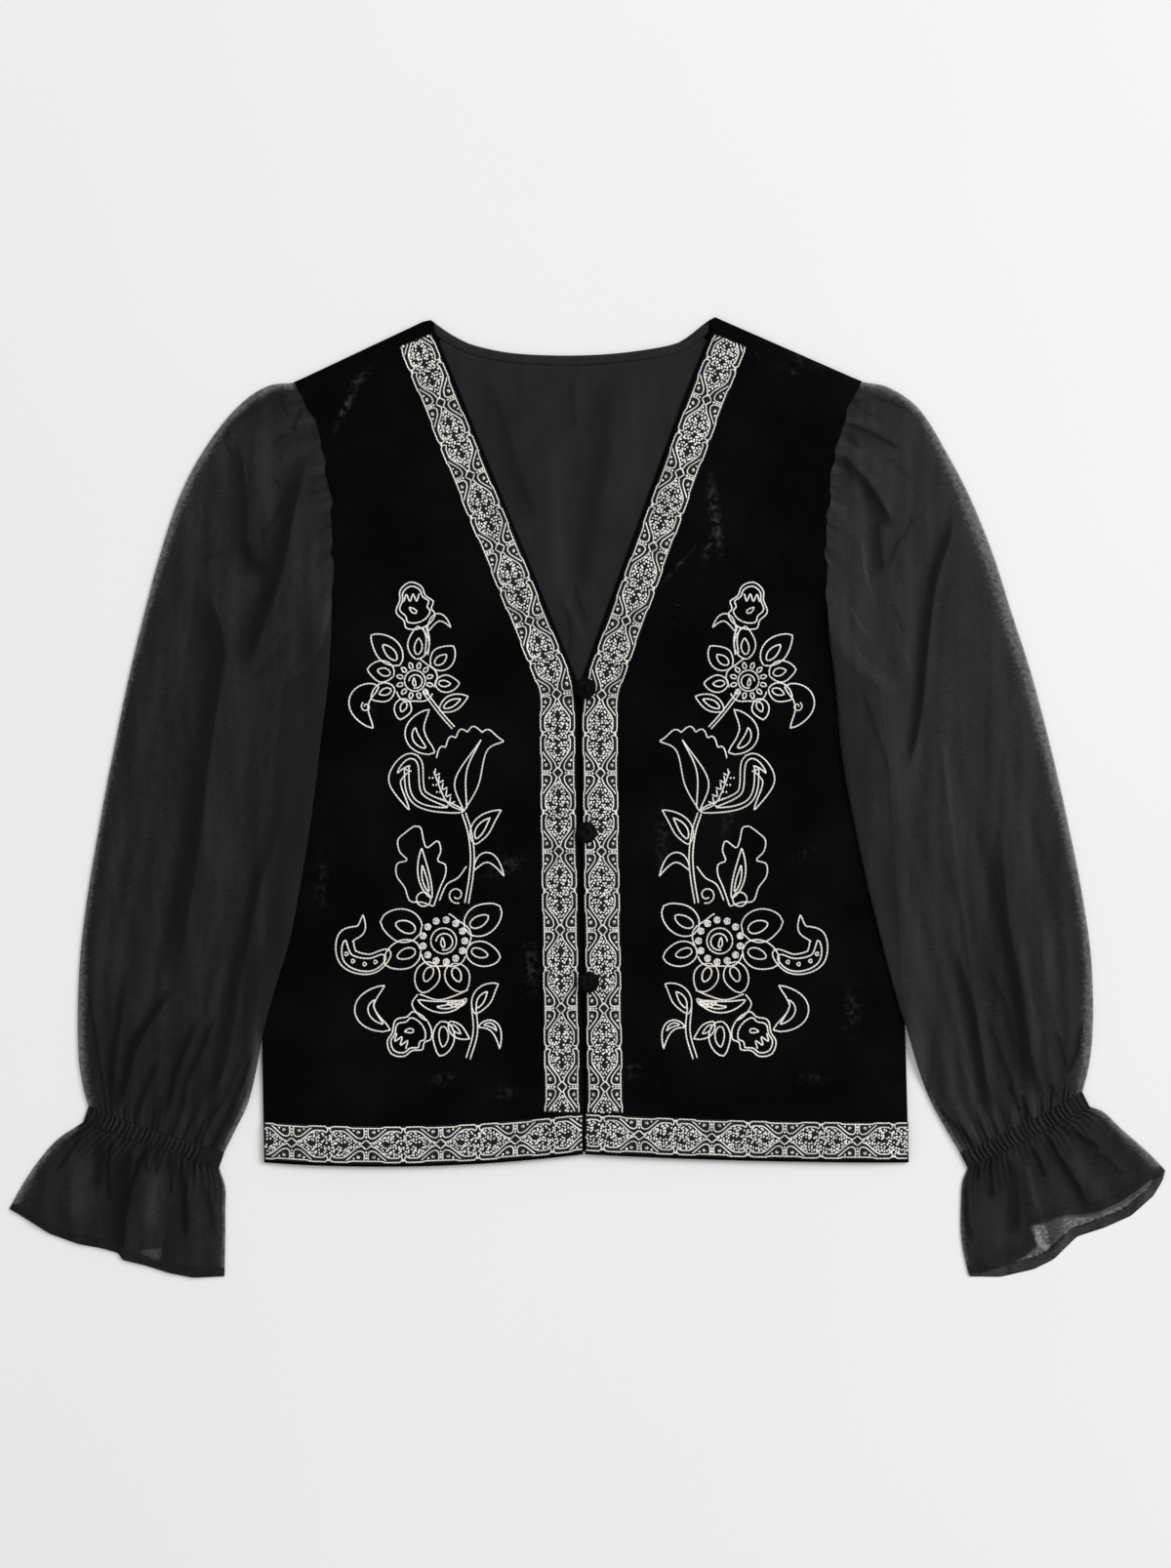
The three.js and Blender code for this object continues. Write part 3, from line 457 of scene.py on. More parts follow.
def across(line):
    """The direction to the left of a line at each of its points"""
    along = np.gradient(np.asarray(line, float), axis=0)
    along /= np.maximum(np.linalg.norm(along, axis=1, keepdims=True), 1e-9)
    return np.column_stack([-along[:, 1], along[:, 0]])


def crease_field(x, y, creases):
    """The height that creases give at plan points, and the painted shade that they lay on the cloth
    there, a painted highlight where below 0
    """
    rise, shade = np.zeros_like(x), np.zeros_like(x)
    for points, soft, sharp, dark, height in creases:
        line = through(*points, per=6)
        reach = 2.5 * max(soft, sharp)
        low, high = line.min(0) - reach, line.max(0) + reach
        near = (x > low[0]) & (x < high[0]) & (y > low[1]) & (y < high[1])
        leg = np.diff(line, axis=0)
        px, py = x[near][:, None] - line[:-1, 0], y[near][:, None] - line[:-1, 1]
        along = np.clip((px * leg[:, 0] + py * leg[:, 1]) / (leg**2).sum(1), 0, 1)
        square = (px - along * leg[:, 0]) ** 2 + (py - along * leg[:, 1]) ** 2
        nearest = square.argmin(1) if len(square) else np.zeros(0, int)
        pick = (np.arange(len(nearest)), nearest)
        distance = np.sqrt(square[pick])
        turn = (leg[:, 0] * py - leg[:, 1] * px)[pick]
        place = (nearest + along[pick]) / len(leg)
        taper = smooth(place / 0.2) * smooth((1 - place) / 0.2)
        shade[near] += dark * taper * bell(distance / np.where(turn > 0, soft, sharp))
        rise[near] += height * taper * bell(distance / max(soft, sharp))
    return rise, shade


def puckered(line):
    """A side line with the armhole's small puckers in it"""
    y = line[:, 1]
    shift = 0.7 * np.sin(y / 4.1 + 1) + 0.5 * np.sin(y / 2.3) + 0.6 * np.sin(y / 7.7)
    shift = shift * smooth((y - 125) / 30) * smooth((285 - y) / 20)
    return line + np.column_stack([shift, 0 * y])


def side_line(side):
    """Points up a side seam and round its armhole to the shoulder tip"""
    rows = np.vstack([BODICE[:-1, [SEAM_X[side], SEAM_Y]], SHOULDER_TIP[side]])
    return puckered(eased_rows(rows, 480))


SIDE_LINES = {side: side_line(side) for side in SIDES}


def inside_by(side, x, y):
    """How far inside the bodice's side a point is"""
    line = SIDE_LINES[side]
    return (np.interp(y, line[:, 1], line[:, 0]) - x) * SIDES[side]


def front_height(side, x, y):
    """The top of a front: down at the side seam, and up along the neck and front edge"""
    x, y = np.asarray(x, float), np.asarray(y, float)
    lift = NECK_LIFT * smooth(inside_by(side, x, y) / LIFT_WIDTH)
    rise, _ = crease_field(x, y, FRONT_CREASES[side])
    return 2 * VELVET + SEAM_GAP + lift + rise


def ground(side, x, y):
    """What a sleeve lies on: the floor, or the bodice's side"""
    near = np.clip((inside_by(side, x, y) + RAMP_FAR) / (RAMP_FAR - RAMP_NEAR), 0, 1)
    high = np.clip((CLIMB_FROM - y) / (CLIMB_FROM - CLIMB_TO), 0, 1)
    return near * high * (front_height(side, x, y) + REST_GAP)


def rolled(distance, radius, depth):
    """How far a cloth's edge rolls down, at a distance from the edge"""
    t = np.clip(1 - distance / radius, 0, 1)
    return depth * (1 - np.sqrt(1 - t * t))


def grid_faces(rows, columns, start=0, ring=False):
    """Quads over rows of points, round and back where each row is a ring"""
    r, c = np.meshgrid(np.arange(rows - 1), np.arange(columns - (not ring)), indexing="ij")
    r, c = r.ravel(), c.ravel()
    n = (c + 1) % columns
    return start + np.column_stack(
        [r * columns + c, r * columns + n, (r + 1) * columns + n, (r + 1) * columns + c]
    )


def piece(name, points, faces, finish, values=None, replaces=()):
    """A mesh piece of the blouse, from points in millimetres, that rides on it

    The finish is named, and made the first time that it is asked for."""
    points = np.asarray(points, float).reshape(-1, 3).copy()
    points[:, :2] += MIDDLE
    points *= MILLIMETRE
    mesh = bpy.data.meshes.new(name)
    groups = faces if isinstance(faces, list) else [faces]
    mesh.from_pydata(points.tolist(), [], [f for g in groups for f in g.tolist()])
    for key, value in (values or {}).items():
        attribute = mesh.attributes.new(key, "FLOAT", "POINT")
        attribute.data.foreach_set("value", np.asarray(value, np.float32).ravel())
    mesh.shade_smooth()
    mesh.materials.append(bpy.data.materials.get(finish) or FINISHES[finish](finish))
    if mesh.validate():
        raise RuntimeError(f"{name} has a broken face")
    obj = bpy.data.objects.new(name, mesh)
    bpy.context.scene.collection.objects.link(obj)
    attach(obj, "root")
    if replaces:
        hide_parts(*replaces)
    return obj


def stacked(top, faces):
    """Turns faces so that a sheet laid out by rows looks up"""
    a, b, c = (top.reshape(-1, 3)[faces[0, i]] for i in range(3))
    return faces if np.cross(b - a, c - a)[2] > 0 else faces[:, ::-1]


class Finish:
    """A material built from nodes, and short ways to add them"""

    def __init__(self, name):
        self.cloth = bpy.context.scene.blouse_cloth
        self.material = bpy.data.materials.new(name)
        self.material.use_nodes = True
        self.tree = self.material.node_tree
        self.shader = self.tree.nodes["Principled BSDF"]
        place = self.tree.nodes.new("ShaderNodeTexCoord")
        self.place = place.outputs["Object"]

    def put(self, kind, out=0, settings=None, **inputs):
        """A node of that kind, whose inputs are numbers, colours or other nodes' outputs"""
        node = self.tree.nodes.new(kind)
        for key, value in (settings or {}).items():
            setattr(node, key, value)
        for key, value in inputs.items():
            name = key.replace("_", " ")
            socket = node.inputs[int(key[1:])] if key[1:].isdigit() else node.inputs[name]
            self.join(value, socket)
        return node.outputs[out]

    def join(self, value, socket):
        if isinstance(value, bpy.types.NodeSocket):
            self.tree.links.new(value, socket)
        else:
            socket.default_value = value

    def noise(self, scale, detail, stretch=None):
        place = self.place
        if stretch:
            place = self.put("ShaderNodeMapping", Vector=place, Scale=stretch)
        return self.put("ShaderNodeTexNoise", "Fac", Vector=place, Scale=scale, Detail=detail)

    def value(self, name):
        return self.put("ShaderNodeAttribute", "Fac", {"attribute_name": name})

    def sum(self, operation, a, b):
        return self.put("ShaderNodeMath", 0, {"operation": operation}, i0=a, i1=b)

    def spread(self, value, low, high, to_low=0.0, to_high=1.0):
        keys = {"From Min": low, "From Max": high, "To Min": to_low, "To Max": to_high}
        node = self.tree.nodes.new("ShaderNodeMapRange")
        self.join(value, node.inputs["Value"])
        for key, number in keys.items():
            self.join(number, node.inputs[key])
        return node.outputs["Result"]

    def uneven(self, amount, *noise):
        """A noise spread out from minus that amount to plus it"""
        return self.spread(self.noise(*noise), 0.3, 0.7, -amount, amount)

    def scaled(self, colour, tone):
        """A colour made lighter or darker from place to place"""
        return self.put("ShaderNodeVectorMath", 0, {"operation": "SCALE"},
                        Vector=tuple(colour), Scale=tone)

    def blend(self, factor, a, b):
        """Colour a where the factor is 0 and b where it is 1"""
        node = self.tree.nodes.new("ShaderNodeMix")
        node.data_type = "RGBA"
        self.join(factor, node.inputs[0])
        self.join(a, node.inputs[6])
        self.join(b, node.inputs[7])
        return node.outputs[2]

    def bump(self, height, depth, strength):
        bumps = self.put("ShaderNodeBump", Height=height, Distance=depth, Strength=strength)
        self.finish(Normal=bumps)

    def finish(self, **inputs):
        for key, value in inputs.items():
            self.join(value, self.shader.inputs[key.replace("_", " ")])


def opaque(colour, scale=1.0):
    """A colour property as four numbers, made lighter or darker"""
    return tuple(min(1.0, c * scale) for c in colour) + (1.0,)


def velvet(name):
    """Short black pile, lighter where it is crushed and specked with a little lint"""
    look = Finish(name)
    pile = look.noise(1400.0, 3.0)
    broken = look.spread(look.noise(260.0, 5.0), 0.44, 0.72)
    crushed = look.sum("MULTIPLY", look.value("crush"), broken)
    lint = look.spread(look.noise(520.0, 2.0), 0.735, 0.8, 0.0, 0.5)
    speck = look.sum("MULTIPLY", lint, look.spread(look.noise(24.0, 2.0), 0.5, 0.62))
    cloudy = look.spread(look.noise(16.0, 4.0), 0.42, 0.75, 0.0, 0.04)
    light = look.sum("ADD", look.sum("ADD", crushed, speck), cloudy)
    look.finish(
        Base_Color=look.blend(light, opaque(look.cloth.velvet), opaque(look.cloth.crushed)),
        Roughness=0.95,
        Specular_IOR_Level=0.02,
        Sheen_Weight=0.015,
        Sheen_Roughness=0.35,
    )
    look.bump(pile, 0.0006, 0.7)
    return look.material


def sheer(name):
    """Thin plain-woven cloth: folds hide more, and light comes through the thin outer edge. Its colour
    carries painted shade and painted highlights from the shade attribute, and is painted lighter at the
    thin outer edge
    """
    look = Finish(name)
    shade = look.value("shade")
    streaks = look.uneven(0.2, 12.0, 5.0, (8.0, 1.0, 1.0))
    slub = look.uneven(0.17, 240.0, 3.0, (1.0, 4.0, 1.0))
    # Where folds double the cloth it hides more; the same shade also darkens the colour as painted
    # shade, or lightens it as a painted highlight below 0
    doubled_and_shaded = look.sum("ADD", shade, look.sum("ADD", streaks, slub))
    thin = look.spread(look.sum("ADD", look.value("thin"), look.uneven(0.4, 420.0, 3.0)), 0.2, 1.1)
    covered = look.spread(doubled_and_shaded, 0.0, 0.8, look.cloth.cover, 0.97)
    tone = look.sum("POWER", 5.0, look.sum("MULTIPLY", doubled_and_shaded, -1.0))
    # The thin outer edge's colour is painted lighter, for the light that comes through under it
    tone = look.sum("MULTIPLY", tone, look.spread(thin, 0.0, 1.0, 1.0, 1.8))
    look.finish(
        Base_Color=look.scaled(look.cloth.sheer, tone),
        Alpha=look.sum("MULTIPLY", covered, look.spread(thin, 0.0, 1.0, 1.0, 0.5)),
        Roughness=0.65,
        Specular_IOR_Level=0.12,
        Sheen_Weight=0.03,
        Sheen_Roughness=0.4,
    )
    look.bump(look.noise(1500.0, 2.0), 0.0003, 0.5)
    return look.material


def lining(name):
    """Smooth woven lining with a slight sheen"""
    look = Finish(name)
    weave = look.noise(900.0, 2.0, (1.0, 3.0, 1.0))
    # The shade attribute is painted shade of the lining's folds and of the shadow beside the right
    # front, and painted highlights below 0
    shade = look.sum("ADD", look.value("shade"), look.uneven(0.13, 30.0, 4.0, (3.0, 1.0, 1.0)))
    tone = look.sum("POWER", 4.5, look.sum("MULTIPLY", shade, -1.0))
    look.finish(
        Base_Color=look.scaled(look.cloth.lining, tone),
        Roughness=0.55,
        Specular_IOR_Level=0.12,
        Sheen_Weight=0.02,
    )
    look.bump(weave, 0.0002, 0.5)
    return look.material


def ribbon_ground(name):
    """The black warp and weft that show between the ribbon's stitches"""
    look = Finish(name)
    weave = look.noise(1100.0, 2.0)
    look.finish(
        Base_Color=look.blend(look.spread(weave, 0.42, 0.8),
                              opaque(look.cloth.ribbon, 0.25), opaque(look.cloth.ribbon, 1.6)),
        Roughness=0.8,
        Specular_IOR_Level=0.2,
    )
    look.bump(weave, 0.0004, 0.8)
    return look.material


def silver_thread(name):
    """Twisted silver-grey thread, each strand a little lighter or darker"""
    look = Finish(name)
    twist = look.noise(1300.0, 2.0)
    tone = look.sum("ADD", look.value("strand"), look.uneven(0.15, 70.0, 3.0))
    tone = look.sum("ADD", tone, look.spread(twist, 0.3, 0.7, -0.35, 0.35))
    look.finish(
        Base_Color=look.blend(look.spread(tone, -0.2, 1.1),
                              opaque(look.cloth.silver, 0.22), opaque(look.cloth.silver, 1.2)),
        Metallic=0.25,
        Roughness=0.42,
        Specular_IOR_Level=0.5,
    )
    look.bump(twist, 0.0003, 0.6)
    return look.material


def sewing_thread(name):
    """Dark sewing thread, a little lighter than the cloth"""
    look = Finish(name)
    twist = look.noise(1600.0, 2.0)
    look.finish(
        Base_Color=look.blend(twist, opaque(look.cloth.lining, 0.3), opaque(look.cloth.lining, 1.3)),
        Roughness=0.7,
    )
    look.bump(twist, 0.0002, 0.5)
    return look.material


FINISHES = {
    "Black velvet": velvet, "Sheer black cloth": sheer, "Charcoal lining": lining,
    "Ribbon ground": ribbon_ground, "Silver thread": silver_thread,
    "Dark sewing thread": sewing_thread,
}


def ridges(strokes, width, height, stitch=None, step=0.8):
    """Stitched lines as low ridges in a chart's own plane: points (x, y, height), quads, strand tones.

    With a stitch length, each line narrows where one link of chain stitch ends."""
    chance = np.random.default_rng(SEED)
    points, faces, tones, start = [], [], [], 0
    for stroke in strokes:
        line = spaced(stroke, step)
        left = across(line)
        swell = np.ones(len(line))
        if stitch:
            swell = 0.78 + 0.34 * np.abs(np.sin(math.pi * line_length(line) / stitch))
        ends = np.minimum(1, 0.35 + np.minimum(np.arange(len(line)), np.arange(len(line))[::-1]))
        half = (width / 2 * swell * ends)[:, None]
        tall = height * swell * ends
        rows = np.zeros((len(line), 5, 3))
        for i, (side, up) in enumerate([(-1, 0), (-0.62, 0.72), (0, 1), (0.62, 0.72), (1, 0)]):
            rows[:, i, :2] = line + left * half * side
            rows[:, i, 2] = tall * up
        points.append(rows.reshape(-1, 3))
        faces.append(grid_faces(len(line), 5, start))
        tones.append(np.full(len(line) * 5, chance.uniform(0.35, 0.85)))
        start += len(line) * 5
    return np.vstack(points), np.vstack(faces)[:, ::-1], np.concatenate(tones)


def beads(centres, radius, height):
    """Small raised knots of thread in a chart's own plane"""
    chance = np.random.default_rng(SEED + 1)
    centres = np.asarray(centres, float)
    turn = np.arange(6) * math.pi / 3
    around = np.column_stack([np.cos(turn) * radius, np.sin(turn) * radius, np.zeros(6)])
    dome = np.vstack([around, [0, 0, height]])
    faces = np.column_stack([np.arange(6), (np.arange(6) + 1) % 6, np.full(6, 6)])
    points = dome[None] * chance.uniform(0.8, 1.15, (len(centres), 1, 1))
    points[..., :2] += centres[:, None]
    starts = 7 * np.arange(len(centres))[:, None, None]
    tones = np.repeat(chance.uniform(0.5, 1.15, len(centres)), 7)
    return points.reshape(-1, 3), (faces[None] + starts).reshape(-1, 3), tones


def together(*parts):
    """Several charts' points, faces and tones as one; faces of three corners are kept"""
    points, faces, tones, start = [], [], [], 0
    for p, f, t in parts:
        points.append(p)
        for group in f if isinstance(f, list) else [f]:
            faces.append(group + start)
        tones.append(t)
        start += len(p)
    return np.vstack(points), faces, np.concatenate(tones)


def curl(x, y, radius, turns, begin, hand=1, shrink=0.25):
    """A scroll that winds in to its centre"""
    t = np.linspace(0, 1, int(14 * turns) + 6)
    angle = math.radians(begin) + hand * 2 * math.pi * turns * t
    reach = radius * (1 - (1 - shrink) * t)
    return np.column_stack([x + reach * np.cos(angle), y + reach * np.sin(angle)])


def through(*points, closed=False, per=10):
    """A smooth line through points"""
    rows = np.array(points, float)
    if closed:
        rows = np.vstack([rows[-2:], rows, rows[:3]])
        line = eased_rows(rows, per * (len(rows) - 1) + 1)
        return line[2 * per: len(line) - 2 * per]
    return eased_rows(rows, per * (len(rows) - 1) + 1)


def averaged(rows, window):
    """Each point's average with its neighbours, over that many rows"""
    share = np.ones(window) / window
    return np.column_stack([np.convolve(column, share, "valid") for column in rows.T])


def front_edge(side):
    """The front edge from the hem to the neck point, and the way into the panel"""
    line = spaced(BODICE[:, [EDGE_X[side], EDGE_Y]], 2.0)
    inward = across(line) * -SIDES[side]
    inward = averaged(np.vstack([inward[:1]] * 4 + [inward] + [inward[-1:]] * 4), 9)
    return line, inward / np.linalg.norm(inward, axis=1, keepdims=True)


def hem_line(side):
    """The front's hem from the front edge to the side seam, and the way up from it"""
    u = np.linspace(0, 1, 120)
    edge, seam = BODICE[0, [EDGE_X[side], EDGE_Y]], BODICE[0, [SEAM_X[side], SEAM_Y]]
    x = edge[0] + (seam[0] - edge[0]) * u
    y = edge[1] + (seam[1] - edge[1]) * u - HEM_SAG[side] * 4 * u * (1 - u)
    return np.column_stack([x, y]), np.tile([0.0, 1.0], (len(u), 1))


def eased_ends(line, window):
    """A line with its corners rounded over that many points, and its ends left where they are"""
    half = window // 2
    first, last = line[0] - line[1], line[-1] - line[-2]
    before = line[0] + np.arange(half, 0, -1)[:, None] * first
    after = line[-1] + np.arange(1, half + 1)[:, None] * last
    return averaged(np.vstack([before, line, after]), window)


class RibbonPath:
    """Where a ribbon lies on a front: along it, and across it from its middle line"""

    def __init__(self, side, base, inward, margin, width, begin, end):
        self.side = side
        self.line = eased_ends(base + inward * (margin + width / 2), 13)
        self.inward = inward
        self.along = line_length(self.line)
        self.begin = begin
        self.length = self.along[-1] - begin - end

    def place(self, along, aside, up):
        """Points on the front at a place along and across the ribbon, raised by up"""
        at = np.clip(along, 0, self.length) + self.begin
        xy = [np.interp(at, self.along, self.line[:, i]) for i in range(2)]
        way = [np.interp(at, self.along, self.inward[:, i]) for i in range(2)]
        x, y = xy[0] + way[0] * aside, xy[1] + way[1] * aside
        return np.stack([x, y, front_height(self.side, x, y) + up], axis=-1)


def edge_path(side):
    """Up the front edge, from the hem ribbon to the shoulder"""
    line, inward = front_edge(side)
    start = HEM_MARGIN + HEM_RIBBON_WIDTH + 2 * SEAM_GAP
    nearer = RIBBON_NEARER[side] * smooth((85 - line[:, 1:]) / 30)
    return RibbonPath(side, line, inward, RIBBON_MARGIN - nearer, RIBBON_WIDTH, start, end=5.0)


def hem_path(side):
    """Along the hem, from the front edge to the side seam"""
    line, up = hem_line(side)
    return RibbonPath(side, line, up, HEM_MARGIN, HEM_RIBBON_WIDTH, begin=0.1, end=0.5)


def ribbon_strip(name, path, width, slot_name):
    """The ribbon's ground, with its edges turned down to the velvet"""
    aside = np.array([-1, -0.985, -0.93, -0.6, 0, 0.6, 0.93, 0.985, 1]) * width / 2
    drop = np.array([0.8, 0.35, 0.05, 0, 0, 0, 0.05, 0.35, 0.8])
    along = np.linspace(0, path.length, int(path.length / 2.5))
    s, a = np.meshgrid(along, aside, indexing="ij")
    points = path.place(s, a, RIBBON_TOP - drop[None, :])
    faces = stacked(points, grid_faces(len(along), len(aside)))
    return piece(name, points, faces, "Ribbon ground", replaces=[slot_name])


def silver_edge(place, half):
    """How far out the silver reaches, by distance from the nearest node in repeats

    It stands in beside each node's corners and at the middle of the almond."""
    corner = 1 - smooth((place - 0.19) / 0.07)
    notch = smooth((place - 0.44) / 0.05)
    return half - 0.45 - 0.85 * corner - 1.1 * notch


def ogee_repeat(length, half):
    """One repeat of the ribbon's ogee scrollwork, charted along 0 to length and across its half width.

    A black diamond stands at each node. Four black lines edged with silver run from it, two each
    way, and swing out round an almond of close knots. A black corner with a scroll in it lies
    outside each of them."""
    chance = np.random.default_rng(SEED + 11)
    lines, knots = [], []
    stalk, wide, beside = 2.7, half - 1.95, 1.45

    def swing(u):
        """Where the black line is, across from the middle"""
        near = np.minimum(u, length - u) / length
        out = stalk + (wide - stalk) * smooth((near - 0.07) / 0.26)
        return out - 1.3 * smooth((near - 0.42) / 0.05)

    for hand in (-1, 1):
        for flip in (0, 1):
            def add(*points, smoothed=True):
                line = through(*points, per=4) if smoothed else np.array(points, float)
                u = length - line[:, 0] if flip else line[:, 0]
                lines.append(np.column_stack([u, hand * line[:, 1]]))

            u = np.linspace(0.085, 0.465, 14) * length
            add((3.3, 0.7), *zip(u, swing(u) - beside), (0.485 * length, wide - 0.5),
                (0.465 * length, half - 1.2))
            add((4.0, 0.1), (0, 3.4), smoothed=False)
            u = np.linspace(0.12, 0.27, 5) * length
            edge = silver_edge(u / length, half)
            add((1.5, half - 1.4), (1.3, half - 4.0), (1.6, 5.8), (3.2, 4.4), (5.2, 4.6),
                *zip(u, np.minimum(swing(u) + beside, edge)))
            add(*curl(5.5, half - 4.3, 1.15, 1.15, 200, -1, 0.2), smoothed=False)
            knots += [(length - k if flip else k, hand * v) for k, v in
                      ((8.6, half - 2.9), (0.49 * length, wide + 0.2))]
        knots += [(0, hand * v) for v in (5.3, 7.4, 9.4)]
    spacing = 2.0
    for row, u in enumerate(np.arange(0.06 * length, 0.94 * length, spacing * 0.87)):
        for v in np.arange(-wide, wide, spacing) + (row % 2) * spacing / 2:
            share, away = u / length, abs(v)
            inside = away < swing(u) - beside - 0.75
            diamond = min(abs(share - 0.28), abs(share - 0.72)) * length / 2.6 + away / 2.5 < 1
            stem = 0.28 < share < 0.42 and away < 0.8
            eye = min(abs(share - 0.41), abs(share - 0.59)) * length / 1.6 + abs(away - 4.4) / 1.5 < 1
            heart = abs(share - 0.52) * length / 3.4 + away / 1.3 < 1
            if inside and not (diamond or stem or eye or heart):
                knots.append((u + chance.uniform(-0.55, 0.55), v + chance.uniform(-0.5, 0.5)))
    return lines, np.array(knots)


def ribbon_embroidery(name, path, width, start, repeat, thread):
    """The ribbon's silver scrollwork, repeated along it, with a scalloped line down each edge"""
    chance = np.random.default_rng(SEED + 2)
    half = width / 2 - 0.3
    lines, knots = ogee_repeat(repeat, half)
    low, high = 0.4, path.length - 0.4
    strokes, dots = [], []
    for first in np.arange(start % repeat - repeat, path.length, repeat):
        for line in lines:
            line = line + [first, 0]
            line = line[(line[:, 0] > low) & (line[:, 0] < high)]
            if len(line) > 1:
                strokes.append(line)
        dots.append(knots + [first, 0])
    dots = np.vstack(dots)
    dots = dots[(dots[:, 0] > low) & (dots[:, 0] < high)]
    u = np.arange(low, high, 0.65)
    place = np.abs(((u - start) / repeat + 0.5) % 1 - 0.5)
    wave = silver_edge(place, half) + 0.22 * np.sin(2 * math.pi * u / 2.6)
    chart, faces, tones = together(
        ridges(strokes, thread, 0.42),
        beads(dots, 0.8, 0.5),
        ridges([np.column_stack([u, hand * wave]) for hand in (-1, 1)], 0.85, 0.4, 2.6),
    )
    tones = np.clip(tones + chance.uniform(-0.1, 0.1, len(tones)), 0, 1.2)
    laid = path.place(chart[:, 0], chart[:, 1], chart[:, 2] + RIBBON_TOP - 0.04)
    finish = "Silver thread"
    return piece(name, laid, faces, finish, {"strand": tones})


def grown(strokes, foot, tip, flip=1):
    """A motif drawn from (0, 0) to (0, 1), put between two points"""
    foot, tip = np.array(foot, float), np.array(tip, float)
    up = tip - foot
    right = np.array([up[1], -up[0]]) * flip
    return [foot + np.asarray(k)[:, :1] * right + np.asarray(k)[:, 1:] * up for k in strokes]


def swept(spine, width, fat=0.85, point=0.85, lobes=0.0, depth=0.0):
    """An outline that swells and narrows again along a spine; below 0.6 its point is round

    Where it has lobes, its edge waves in and out that often."""
    t = np.linspace(0, 1, len(spine))[:, None]
    wave = 1 + depth * np.sin(2 * math.pi * lobes * t - 0.6)
    half = width / 2 * np.sin(math.pi * t**fat) ** point * wave * across(spine)
    return np.vstack([spine + half, (spine - half)[::-1]])


def leaf(foot, bow, tip, width, inner=0.0, point=0.85):
    """A leaf whose spine bows through a point, with a smaller one inside"""
    foot, bow, tip = (np.array(p, float) for p in (foot, bow, tip))
    pull = 2 * bow - (foot + tip) / 2

    def spine(u):
        return (1 - u) ** 2 * foot + 2 * u * (1 - u) * pull + u**2 * tip

    outline = [swept(spine(np.linspace(0, 1, 17)[:, None]), width, point=point)]
    if inner:
        ends = [spine(u) for u in (0.14, 0.14 + 0.5 * inner, 0.14 + inner)]
        outline += leaf(*ends, width * inner * 0.72, 0, point)
    return outline


def ring(x, y, radius, count=14):
    """A ring of stitches"""
    t = np.linspace(0, 2 * math.pi, count + 1)
    return np.column_stack([x + radius * np.cos(t), y + radius * np.sin(t)])


def double(line, gap):
    """A stem stitched as two lines side by side"""
    line = spaced(line, 1.2)
    offset = across(line) * gap / 2
    return [line + offset, line - offset]


def bud(foot, tip, flip=1):
    """A leaning bud with a double edge, soft lobes and a wavy line of stitches in it"""
    edge = swept(through((0, 0), (0.16, 0.45), (0.24, 1.0), per=20), 0.76, 0.8, 0.5, 2.6, 0.12)
    inside = (edge - [0.2, 0.6]) * 0.78 + [0.2, 0.6]
    t = np.linspace(0, 1, 25)
    wave = np.column_stack([0.04 + 0.36 * t, 0.66 + 0.08 * np.cos(5 * math.pi * t)])
    drop = leaf((0.12, 0.34), (0.2, 0.38), (0.28, 0.46), 0.09)
    return grown([edge, inside, wave] + drop, foot, tip, flip)


def rosette(x, y, radius, petals, knots, beaded):
    """An open flower: petals with loops in them, a row of beads or drops, and a double centre

    Petals are given as degrees round from outwards, near and far reach, and width."""
    strokes = []
    for degrees, near, far, width in petals:
        way = np.array([math.cos(math.radians(degrees)), math.sin(math.radians(degrees))])
        side = np.array([-way[1], way[0]])
        foot, tip = (np.array([x, y]) + way * reach for reach in (near, far))
        bow = (foot + tip) / 2 + side * width * 0.08
        strokes += leaf(foot, bow, tip, width, 0.5, 0.55 if beaded else 0.72)
    for k in range(knots):
        turn = 2 * math.pi * (k + 0.5) / knots
        way = np.array([math.cos(turn), math.sin(turn)])
        if beaded:
            bead = np.array([x, y]) + way * radius * 0.92
            strokes += [ring(*bead, radius * r, 8) for r in (0.13, 0.05)]
        else:
            near, far = (np.array([x, y]) + way * radius * reach for reach in (0.66, 1.0))
            strokes += leaf(near, (near + far) / 2, far, radius * 0.2, 0, 0.6)
    for begin, end in ((100, 200), (215, 330)):
        t = np.radians(np.linspace(begin, end, 40))
        scallop = radius * (1.16 + 0.07 * np.sin(5 * t))
        strokes.append(np.column_stack([x + scallop * np.cos(t), y + scallop * np.sin(t)]))
    strokes.append(ring(x, y, radius * 0.56, 26))
    strokes.append(ring(x - 0.03 * radius, y - 0.04 * radius, radius * 0.36, 20)[:17])
    strokes += leaf((x - 0.02 * radius, y - 0.3 * radius), (x + 0.04 * radius, y - 0.1 * radius),
                    (x + 0.05 * radius, y + 0.16 * radius), radius * 0.16, 0)
    return strokes


def lobed_leaf(foot, tip, width):
    """A broad leaf with pointed lobes and a slim pair of veins"""
    broad = width / np.linalg.norm(np.subtract(tip, foot))
    outer = [(0, 0), (0.2, 0.08), (0.42, 0.13), (0.46, 0.3), (0.56, 0.46), (0.5, 0.6), (0.3, 0.62),
             (0.4, 0.74), (0.38, 0.88), (0.2, 0.95), (0.02, 1.0)]
    inner = [(0.02, 1.0), (-0.1, 0.96), (-0.1, 0.8), (-0.14, 0.71), (-0.36, 0.76), (-0.38, 0.64),
             (-0.28, 0.53), (-0.4, 0.46), (-0.36, 0.34), (-0.2, 0.2), (0, 0)]
    edges = [through(*(np.array(half) * [broad, 1]), per=6) for half in (outer, inner)]
    vein = leaf((0, 0.1), (0.03, 0.4), (-0.02, 0.72), 0.14, 0.55)
    return grown(edges + vein, foot, tip)


